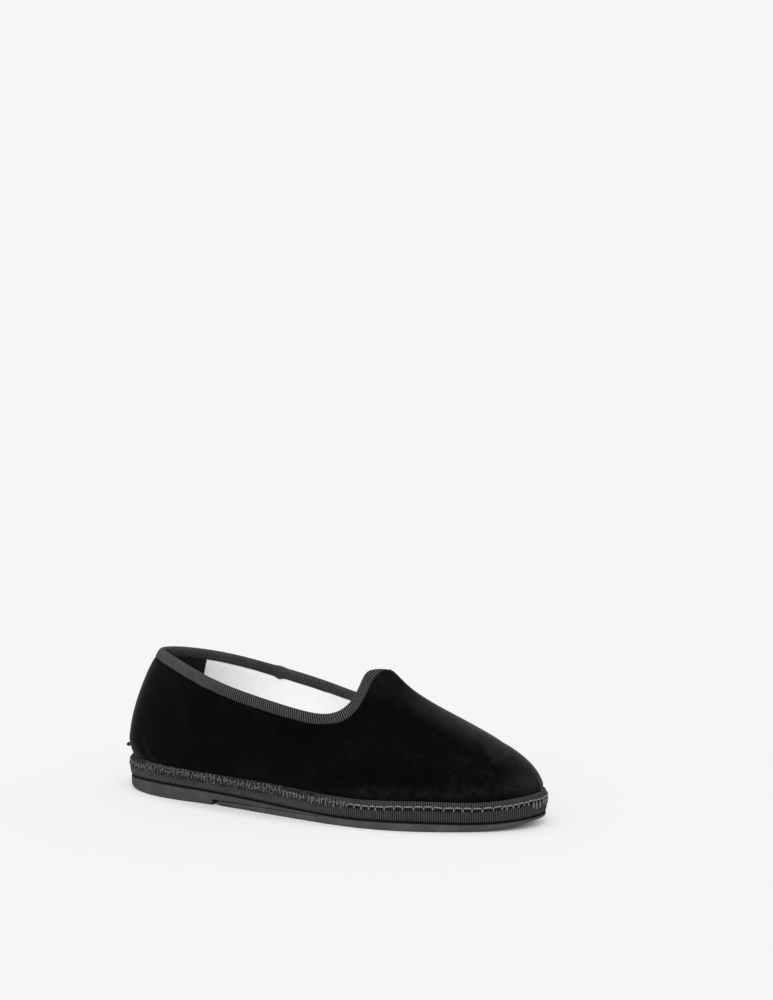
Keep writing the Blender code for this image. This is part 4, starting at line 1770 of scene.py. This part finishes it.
@dataclass
class BandStitches(Assembly):
    """The hand stitches that hold the band: floats in front and a tangle of thread behind.

    Fields that end in _scatter are spreads of random draws, and those that end in _range their ends.
    """

    band: SoleBand
    thread: float = 0.42 * MM
    float_points: int = 9
    float_arch: float = 0.35 * MM
    float_arch_range: Span = (0.5, 1.2)
    float_lift: float = 0.18 * MM
    float_rise: float = 0.16 * MM
    knot_scatter: float = 0.22 * MM
    knot_drop_scatter: float = 0.14 * MM
    leg_points: int = 6
    leg_length: float = 2.1 * MM
    toe_leg_length: float = 5.0 * MM
    leg_range: Span = (0.75, 1.2)
    leg_lean_scatter: float = 0.25 * MM
    leg_lift: float = 0.12 * MM
    thin_thread: float = 0.23 * MM
    highest: float = -0.1 * MM
    loop_points: int = 12
    loop_drop: float = 0.9 * MM
    loop_size: float = 0.8
    loose_drop: float = 0.8 * MM
    loose_size: float = 0.5
    loop_height: float = 1.35 * MM
    loop_height_range: Span = (0.5, 1.3)
    loop_breadth: float = 1.0 * MM
    loop_breadth_range: Span = (0.3, 1.5)
    loop_drop_scatter: float = 0.4 * MM
    loop_place_scatter: float = 0.5 * MM
    loop_lift: float = 0.02 * MM
    loop_weave: float = 0.42 * MM
    weaves_per_loop: float = 1.5
    tick: float = 0.36 * MM
    tick_length: float = 4.2 * MM
    thin_length: float = 2.8 * MM
    thin_drop: float = 1.4 * MM
    thin_pitch: float = 0.8
    tick_range: Span = (0.7, 1.2)
    tick_place_scatter: float = 0.14
    tick_drop_scatter: float = 0.3 * MM
    tick_lean_scatter: float = 0.45 * MM
    tick_least_drop: float = 0.3 * MM
    tick_rise: float = 0.2 * MM
    fleck: float = 0.26 * MM
    fleck_points: int = 5
    fleck_pitch: float = 1.0 * MM
    loose_fleck_pitch: float = 1.4 * MM
    fleck_drops: Triple = (-0.6 * MM, 0.5 * MM, 5.6 * MM)
    fleck_range: Span = (0.7 * MM, 1.6 * MM)
    fleck_lift: float = 0.34 * MM
    fleck_bend: float = 1.2 * MM
    seed: int = 23

    def __post_init__(self) -> None:
        """Start the random draws."""
        self.draws = np.random.default_rng(self.seed)

    def span(self, run: StitchRun) -> Span:
        """Distances of a run's two ends from the heel along the outline."""
        return self.band.loop.arc_of(run.start), self.band.loop.arc_of(run.end)

    def float_run(self, mesh: Mesh, run: StitchRun) -> None:
        """Floats that arch between legs.

        Args:
            mesh: The mesh that gets them.
            run: Where they are.
        """
        start, end = self.span(run)
        count = max(1, round((end - start) / (run.pitch * MM)))
        knots = np.linspace(start, end, count + 1)
        knots[1:-1] += self.draws.normal(0, self.knot_scatter, count - 1)
        drops = run.drop * MM + self.draws.normal(0, self.knot_drop_scatter, count + 1)
        legs = self.toe_leg_length if run.way is Stitch.LEGGED else self.leg_length
        bow = arch(self.float_points)
        steps = np.linspace(0, 1, self.leg_points)
        for number in range(count):
            arcs = np.linspace(knots[number], knots[number + 1], self.float_points)
            level = np.linspace(drops[number], drops[number + 1], self.float_points)
            level = level - self.float_arch * bow * self.draws.uniform(*self.float_arch_range)
            self.band.lay(mesh, arcs, level, self.float_lift + self.float_rise * bow, self.thread)
            lean = self.draws.normal(0, self.leg_lean_scatter)
            reach = legs * self.draws.uniform(*self.leg_range)
            arcs = knots[number] + steps * lean
            self.band.lay(mesh, arcs, drops[number] + steps * reach, self.leg_lift, self.thread)

    def chain(self, mesh: Mesh, run: StitchRun, drop: float, size: float) -> None:
        """A thread that winds along the ribbon in uneven loops.

        Args:
            mesh: The mesh that gets it.
            run: Where it is.
            drop: Distance of its middle below the run's own height.
            size: Size of the loops, 1 for the full one.
        """
        start, end = self.span(run)
        count = round((end - start) / (run.pitch * MM))
        turns = np.linspace(0, count, count * self.loop_points)
        loops = np.arange(count + 1)
        breadth = np.interp(turns, loops, self.draws.uniform(*self.loop_breadth_range, count + 1))
        height = np.interp(turns, loops, self.draws.uniform(*self.loop_height_range, count + 1))
        lower = np.interp(turns, loops, self.draws.normal(0, self.loop_drop_scatter, count + 1))
        onward = np.interp(turns, loops, self.draws.normal(0, self.loop_place_scatter, count + 1))
        angle = TURN * turns
        arcs = start + turns / count * (end - start) + onward
        arcs = arcs + size * self.loop_breadth * breadth * np.sin(angle)
        drops = run.drop * MM + drop + lower + size * self.loop_height * height * np.cos(angle)
        lift = self.loop_lift + self.loop_weave * np.cos(angle * self.weaves_per_loop)
        self.band.lay(mesh, arcs, np.maximum(drops, self.highest), lift, self.thin_thread)

    def legs(self, mesh: Mesh, run: StitchRun, pitch: float, drop: float, size: Span) -> None:
        """Uneven upright stitches.

        Args:
            mesh: The mesh that gets them.
            run: Where they are.
            pitch: Distance from one to the next.
            drop: Distance of their upper ends below the run's own height.
            size: Their usual length, and half their thickness.
        """
        length, radius = size
        start, end = self.span(run)
        count = round((end - start) / pitch)
        steps = np.linspace(0, 1, self.leg_points)
        lift = self.leg_lift + self.tick_rise * arch(self.leg_points)
        for number in range(count):
            place = number + 0.5 + self.draws.normal(0, self.tick_place_scatter)
            top = run.drop * MM + drop + self.draws.normal(0, self.tick_drop_scatter)
            lean = self.draws.normal(0, self.tick_lean_scatter)
            reach = length * self.draws.uniform(*self.tick_range)
            arcs = start + place * (end - start) / count + steps * lean
            self.band.lay(mesh, arcs, max(self.tick_least_drop, top) + steps * reach, lift, radius)

    def flecks(self, mesh: Mesh, run: StitchRun, pitch: float) -> None:
        """Short crooked ends of thread, scattered over the upper half of the ribbon.

        Args:
            mesh: The mesh that gets them.
            run: Where they are.
            pitch: Length of ribbon for each.
        """
        start, end = self.span(run)
        steps = np.linspace(-0.5, 0.5, self.fleck_points)
        lift = self.fleck_lift - self.fleck_bend * steps**2
        for _ in range(round((end - start) / pitch)):
            middle = self.draws.uniform(start, end)
            drop = run.drop * MM + self.draws.triangular(*self.fleck_drops)
            angle = self.draws.uniform(0, math.pi)
            reach = self.draws.uniform(*self.fleck_range)
            arcs = middle + steps * reach * math.cos(angle)
            drops = np.maximum(drop + steps * reach * math.sin(angle), self.highest)
            self.band.lay(mesh, arcs, drops, lift, self.fleck)

    def loop_run(self, mesh: Mesh, run: StitchRun) -> None:
        """A chain of loops with thin legs under it and crooked ends all over.

        Args:
            mesh: The mesh that gets them.
            run: Where they are.
        """
        pitch = self.thin_pitch * run.pitch * MM
        self.chain(mesh, run, self.loop_drop, self.loop_size)
        self.legs(mesh, run, pitch, self.thin_drop, (self.thin_length, self.thin_thread))
        self.flecks(mesh, run, self.fleck_pitch)

    def tick_run(self, mesh: Mesh, run: StitchRun) -> None:
        """Upright legs under a loose chain.

        Args:
            mesh: The mesh that gets them.
            run: Where they are.
        """
        self.chain(mesh, run, self.loose_drop, self.loose_size)
        self.legs(mesh, run, run.pitch * MM, 0.0, (self.tick_length, self.tick))
        self.flecks(mesh, run, self.loose_fleck_pitch)

    def build(self) -> None:
        """Make one piece for the front and one for the tangled rear."""
        ways = {
            Stitch.LOOPED: self.loop_run,
            Stitch.TICKED: self.tick_run,
            Stitch.FLOATED: self.float_run,
            Stitch.LEGGED: self.float_run,
        }
        front, rear = bmesh.new(), bmesh.new()
        for run in STITCH_RUNS:
            tangled = run.way in (Stitch.LOOPED, Stitch.TICKED)
            ways[run.way](rear if tangled else front, run)
        self.workshop.piece("band_stitches", front, GREY_THREAD)
        self.workshop.piece("band_rear_stitches", rear, DULL_THREAD)


@dataclass
class Sole(Assembly):
    """The rubber heel with its wedge, the rubber tread sheet and the padded footbed.

    Spans that end in _margin are distances from an end over which the tread's grooves come in.
    """

    inset: float = 0.8 * MM
    rounding: float = 0.8 * MM
    thin_rounding: float = 0.3
    corner_steps: int = 4
    # Painted shade down the upper corner, where the band or the wedge shades the rubber
    seam_shade: tuple[float, ...] = (1.0, 1.0, 1.0, 0.6)
    seam_end: float = 1.3
    crisp_angle: float = 42.0
    step: float = 0.55 * MM
    round_end: float = 1.4
    sections_per_rib: int = 8
    under_points: int = 60
    over_points: int = 6
    heel_wear: float = 2.7 * MM
    wear_run: Span = (24 * MM, 2 * MM)
    breast_x: float = 66 * MM
    tread_back_x: float = 70.2 * MM
    wedge_end_x: float = 138 * MM
    wedge_back_z: float = 3.0 * MM
    wedge_end_z: float = 3.4 * MM
    wedge_gap: float = 0.1 * MM
    wedge_rounding: float = 0.15 * MM
    wedge_seam_shade: float = 0.9
    wedge_fade_x: float = 112 * MM
    arch_rise: float = 0.8 * MM
    arch_end_x: float = 150 * MM
    toe_break_x: float = 215 * MM
    toe_spring: float = 4.5 * MM
    groove_pitch: float = 4.4 * MM
    groove_width: float = 1.5 * MM
    groove_depth: float = 1.0 * MM
    groove_slope: float = 0.4 * MM
    slots: int = 9
    slot_edges: Span = (0.36, 0.42)
    plain_edge: float = 0.07
    plain_fade: float = 0.04
    back_margin: Span = (4 * MM, 7 * MM)
    breast_margin: Span = (0 * MM, 3 * MM)
    toe_margin: Span = (4 * MM, 9 * MM)
    footbed_inset: float = 4.8 * MM
    footbed_thickness: float = 4.5 * MM
    footbed_columns: int = 44
    footbed_every: int = 3
    footbed_angle: float = 60.0
    edge_height: float = 0.62
    edge_power: int = 6
    end_height: float = 0.6
    end_run: Span = (-1 * MM, 5 * MM)
    dish_share: float = 0.14
    dish_length: float = 24 * MM
    dish_depth: float = 0.9 * MM

    def stations(self, start: float, end: float) -> Points:
        """Rib numbers of the sections between two distances from the heel, closer at the round ends.

        Args:
            start: Where the first section is.
            end: Where the last one is.

        Returns:
            Rib numbers.
        """
        even = self.last.rib_of(np.linspace(start, end, round((end - start) / self.step)))
        first, last = float(self.last.rib_of(start)), float(self.last.rib_of(end))
        bent = np.linspace(first, last, round((last - first) * self.sections_per_rib))
        ends = bent[(bent < self.round_end) | (bent > RIBS / 2 - self.round_end)]
        return np.unique(np.concatenate([even, ends]).round(6))

    def wedge_bottom(self, x: Points) -> Points:
        """Underside of the thin wedge that runs forward from the heel."""
        share = (x - self.breast_x) / (self.wedge_end_x - self.breast_x)
        return self.wedge_back_z + (self.wedge_end_z - self.wedge_back_z) * share

    def tread_bottom(self, x: Points) -> Points:
        """Underside of the tread sheet: arch, flat ball and toe spring.

        Args:
            x: Distances from the back of the heel.

        Returns:
            Heights over the floor.
        """
        rise = np.maximum(0, (self.arch_end_x - x) / (self.arch_end_x - self.tread_back_x))
        toe = np.maximum(0, (x - self.toe_break_x) / (self.last.length - self.toe_break_x))
        return self.arch_rise * rise**2 + self.toe_spring * toe**2

    def tread(self, x: Points, share: Points) -> Points:
        """Depth of the tread's grooves: bars across the sole, split in a brick pattern.

        Args:
            x: Distances from the back of the heel.
            share: Shares of the way across, from -1 to 1.

        Returns:
            Depths of the same shape.
        """
        number = np.floor(x / self.groove_pitch)
        inside = x - number * self.groove_pitch
        bar = smooth_step(0.0, self.groove_slope, inside)
        bar = bar * smooth_step(0.0, self.groove_slope, self.groove_width - inside)
        column = (share + 1) / 2 * self.slots + 0.5 * (number % 2)
        split = smooth_step(*self.slot_edges, np.abs(column - np.floor(column) - 0.5))
        kept = smooth_step(0.0, self.plain_fade, 1 - self.plain_edge - np.abs(share))
        return self.groove_depth * np.maximum(bar, split) * kept

    def loft(
        self,
        ribs: Points,
        levels: tuple[Points, Points],
        corners: tuple[Points, Points],
        grooved: Points,
    ) -> Points:
        """Sections across the sole with round corners.

        Args:
            ribs: Rib numbers of the sections.
            levels: Heights of the underside and the upper side at each.
            corners: Radii of the upper and the lower corners at each.
            grooved: 1 where the underside has its tread, 0 where it is plain.

        Returns:
            Places shaped (sections, points, 3).
        """
        bottom, top = levels
        upper, lower = corners
        turn = np.linspace(0, math.pi / 2, self.corner_steps)
        profile = [(1 - math.sin(angle), 1 - math.cos(angle), top, -1, upper) for angle in turn]
        profile += [(0.0, self.seam_end, top, -1, upper)]
        profile += [(1 - math.cos(angle), 1 - math.sin(angle), bottom, 1, lower) for angle in turn]
        right, left = [], []
        for more, less, height, way, corner in profile:
            z = height + way * less * corner
            for side, rows in ((ribs, right), (RIBS - ribs, left)):
                plan, _ = self.last.outline(side, self.inset + more * corner)
                rows.append(np.column_stack([plan, z]))
        share = np.linspace(-1, 1, self.under_points + 2)[1:-1]
        mix = ((share + 1) / 2)[:, None, None]
        under = right[-1] * (1 - mix) + left[-1] * mix
        depth = self.tread(under[..., 0], np.broadcast_to(share[:, None], under.shape[:2]))
        under[..., 2] += depth * grooved
        over_mix = np.linspace(0, 1, self.over_points + 2)[1:-1][:, None, None]
        over = left[0] * (1 - over_mix) + right[0] * over_mix
        section = np.concatenate([np.stack(right), under, np.stack(left[::-1]), over])
        return section.transpose(1, 0, 2)

    def solid(self, sections: Points, seam: Points) -> Mesh:
        """A solid through closed sections from back to front, with painted shade in the seam along its upper
        edges.

        Args:
            sections: Places shaped (sections, points, 3).
            seam: How dark the painted shade in the seam is at each section, up to 1.

        Returns:
            The solid, with open ends.
        """
        edge = np.concatenate([self.seam_shade, np.zeros(self.corner_steps + 1)])
        shade = np.concatenate([edge, np.zeros(self.under_points), edge[::-1], np.ones(self.over_points)])
        mesh = bmesh.new()
        marks = {"shade": closed(seam[:, None] * shade, 1)}
        self.workshop.grid(mesh, closed(sections, 1), marks=marks)
        return mesh

    def build_heel(self) -> None:
        """The heel block and its wedge."""
        back = self.stations(0.0, self.breast_x)
        front = self.stations(self.breast_x, self.wedge_end_x)
        ribs = np.concatenate([back, front])
        x = self.last.outline_points(ribs)[:, 0]
        on_floor = np.arange(len(ribs)) < len(back)
        bottom = np.where(on_floor, 0.0, self.wedge_bottom(x))
        grooved = smooth_step(*self.breast_margin, self.breast_x - x) * smooth_step(*self.back_margin, x)
        top = self.last.level("sole", x)
        upper = np.minimum(self.rounding, self.thin_rounding * (top - bottom))
        lower = upper + self.heel_wear * smooth_step(*self.wear_run, x)
        sections = self.loft(ribs, (bottom, top), (upper, lower), on_floor * grooved)
        # Painted shade in the seam under the band, all along the heel
        mesh = self.solid(sections, np.ones(len(x)))
        self.workshop.piece("heel_block", mesh, HEEL_RUBBER, "heel_rubber", "heel", self.crisp_angle)

    def build_tread(self) -> None:
        """The tread sheet, from under the wedge to the toe."""
        step = self.wedge_end_x + self.last.gap
        back = self.stations(self.tread_back_x, step)
        front = self.stations(step, self.last.length)
        ribs = np.concatenate([back, front])
        x = self.last.outline_points(ribs)[:, 0]
        under_wedge = np.arange(len(ribs)) < len(back)
        top = np.where(under_wedge, self.wedge_bottom(x) - self.wedge_gap, self.last.level("sole", x))
        grooved = smooth_step(*self.back_margin, x - self.tread_back_x)
        grooved = grooved * smooth_step(*self.toe_margin, self.last.length - x)
        bottom = self.tread_bottom(x)
        lower = np.minimum(self.rounding, self.thin_rounding * (top - bottom))
        upper = np.where(under_wedge, self.wedge_rounding, lower)
        # Painted shade in the seam under the wedge, fading out forwards
        fade = self.wedge_seam_shade * smooth_step(self.wedge_fade_x, self.tread_back_x, x)
        sections = self.loft(ribs, (bottom, top), (upper, lower), grooved)
        mesh = self.solid(sections, np.where(under_wedge, fade, 1.0))
        self.workshop.piece("tread_sheet", mesh, TREAD_RUBBER, "tread_rubber", "outsole", self.crisp_angle)

    def build_footbed(self) -> None:
        """The padded footbed, rolled off at its edges and dished under the heel."""
        ribs = self.stations(0.0, self.last.length)[:: self.footbed_every]
        ribs[-1] = RIBS / 2
        shares = np.linspace(-1, 1, self.footbed_columns)
        right, _ = self.last.outline(ribs, self.footbed_inset)
        left, _ = self.last.outline(RIBS - ribs, self.footbed_inset)
        mix = ((shares + 1) / 2)[:, None, None]
        plan = right * (1 - mix) + left * mix
        bottom = self.last.level("sole", plan[0, :, 0]) + self.last.gap
        edge = np.abs(shares)[:, None]
        x = plan[..., 0]
        dish = bell(x, self.dish_share * self.last.length, self.dish_length) * (1 - edge**2)
        ends = np.minimum(smooth_step(*self.end_run, x - x.min()), smooth_step(*self.end_run, x.max() - x))
        rise = self.footbed_thickness * (1 - (1 - self.edge_height) * edge**self.edge_power)
        rise = rise * (self.end_height + (1 - self.end_height) * ends)
        over = np.dstack([plan, bottom + rise - self.dish_depth * dish])
        under = np.dstack([plan, np.broadcast_to(bottom, plan.shape[:2])])
        sections = closed(np.concatenate([under, over[::-1]]).transpose(1, 0, 2), 1)
        mesh = bmesh.new()
        self.workshop.grid(mesh, sections, sections[..., :2])
        angle = self.footbed_angle
        made = self.workshop.piece("footbed", mesh, WHITE_COTTON, "insole_cloth", "insole", angle)

    def build(self) -> None:
        """Make the three pieces."""
        self.build_heel()
        self.build_tread()
        self.build_footbed()


@dataclass
class ThreadEnd(Assembly):
    """The knotted end of the seam thread that stands off the back of the heel."""

    rib: float = 0.75
    rib_step: float = 0.1
    share: float = 0.09
    share_step: float = 0.02
    radius: float = 0.48 * MM
    knot: float = 0.7 * MM
    turns: float = 2.4
    points: int = 44
    stand: float = 0.6 * MM
    stand_per_turn: float = 0.5 * MM
    length_per_turn: float = 0.5 * MM

    def build(self) -> None:
        """A small knot of a little over two turns."""
        beside = np.array([-1.0, 0.0, 1.0])
        fan = self.last.fan(self.rib + beside * self.rib_step)
        near = fan.at((self.share + beside * self.share_step)[:, None] * fan.total)
        out = surface_normals(near)[1, 1]
        along = unit(near[1, 2] - near[1, 0])
        up = np.cross(out, along)
        turns = np.linspace(0, self.turns, self.points)[:, None]
        swirl = np.cos(TURN * turns) * out + np.sin(TURN * turns) * up
        path = near[1, 1] + out * (self.stand + self.stand_per_turn * turns) + self.knot * swirl
        path = path + along * (turns - self.turns / 2) * self.length_per_turn
        mesh = bmesh.new()
        self.workshop.tube(mesh, path, np.broadcast_to(along, path.shape), self.radius)
        self.workshop.piece("seam_thread_end", mesh, BLACK_THREAD)


@dataclass(frozen=True)
class Studio:
    """Plain pale floor, soft light from all round and the camera; angles are in degrees."""

    camera_place: Triple = (0.7509, -1.5829, 0.4418)
    azimuth: float = 24.384
    elevation: float = 8.630
    roll: float = 0.194
    lens: float = 113.22
    white: float = 0.9216
    floor_size: float = 40.0
    floor_glow: float = 0.70
    shadow_length: float = 136 * MM
    shadow_width: float = 50 * MM
    shadow_edges: Span = (0.80, 1.08)
    sun_strength: float = 2.2
    sun_angle: float = 70.0
    sun_tilt: float = 40.0
    sun_turn: float = 5.0

    def build_camera(self) -> None:
        """The camera at the photograph's angle."""
        data = bpy.data.cameras.new("camera")
        data.lens = self.lens
        made = in_scene("camera", data)
        made.location = self.camera_place
        level = Euler((math.radians(90 - self.elevation), 0.0, math.radians(self.azimuth))).to_matrix()
        made.rotation_euler = (level @ Matrix.Rotation(math.radians(self.roll), 3, "Z")).to_euler()
        bpy.context.scene.camera = made

    def build_light(self) -> None:
        """White surroundings and one large soft light overhead."""
        world = bpy.data.worlds.new("studio")
        world.use_nodes = True
        back = world.node_tree.nodes["Background"]
        back.inputs["Color"].default_value = grey(self.white)
        back.inputs["Strength"].default_value = 1.0
        bpy.context.scene.world = world
        data = bpy.data.lights.new("soft_light", "SUN")
        data.energy = self.sun_strength
        data.angle = math.radians(self.sun_angle)
        made = in_scene("soft_light", data)
        made.rotation_euler = (math.radians(self.sun_tilt), 0.0, math.radians(self.sun_turn))
        bpy.context.scene.view_settings.view_transform = "Standard"

    def floor_material(self) -> Material:
        """Matt white near the shoe, so that it takes a shadow, and partly glowing further off.

        Returns:
            The material.
        """
        bench = Bench("pale_floor")
        scale = (1 / self.shadow_length, 1 / self.shadow_width, 0.0)
        spread = bench.scaled(bench.object_place(), scale)
        reach = bench.signal("ShaderNodeVectorMath", {"operation": "LENGTH"}, {0: spread}, output=1)
        open_floor = reach.step(*self.shadow_edges)
        lit = self.white + self.sun_strength * math.cos(math.radians(self.sun_tilt)) / math.pi
        matt = self.white / lit
        return bench.dress(
            Base_Color=bench.blend(open_floor, grey(matt), grey((1 - self.floor_glow) * matt)),
            Roughness=1.0,
            Specular_IOR_Level=0.0,
            Emission_Color=bench.blend(open_floor, grey(0.0), grey(self.floor_glow * self.white)),
            Emission_Strength=1.0,
        )

    def build_floor(self) -> None:
        """A pale floor that glows a little, so that shadows on it stay faint."""
        mesh = bmesh.new()
        bmesh.ops.create_grid(mesh, x_segments=1, y_segments=1, size=self.floor_size / 2)
        data = bpy.data.meshes.new("floor")
        mesh.to_mesh(data)
        mesh.free()
        data.materials.append(self.floor_material())
        made = in_scene("floor", data)

    def build(self) -> None:
        """Set up the studio."""
        self.build_camera()
        self.build_light()
        self.build_floor()


def main() -> None:
    """Build the shoe piece by piece, then the studio round it."""
    logging.basicConfig(level=logging.INFO, format="%(name)s: %(message)s")
    workshop = Workshop(Last.on_frame())
    band = SoleBand(workshop)
    assemblies = (
        Upper(workshop),
        CollarBinding(workshop),
        band,
        BandStitches(workshop, band),
        Sole(workshop),
        ThreadEnd(workshop),
        Studio(),
    )
    for assembly in assemblies:
        assembly.build()
        log.info("%s built", type(assembly).__name__)


if __name__ == "__main__":
    main()
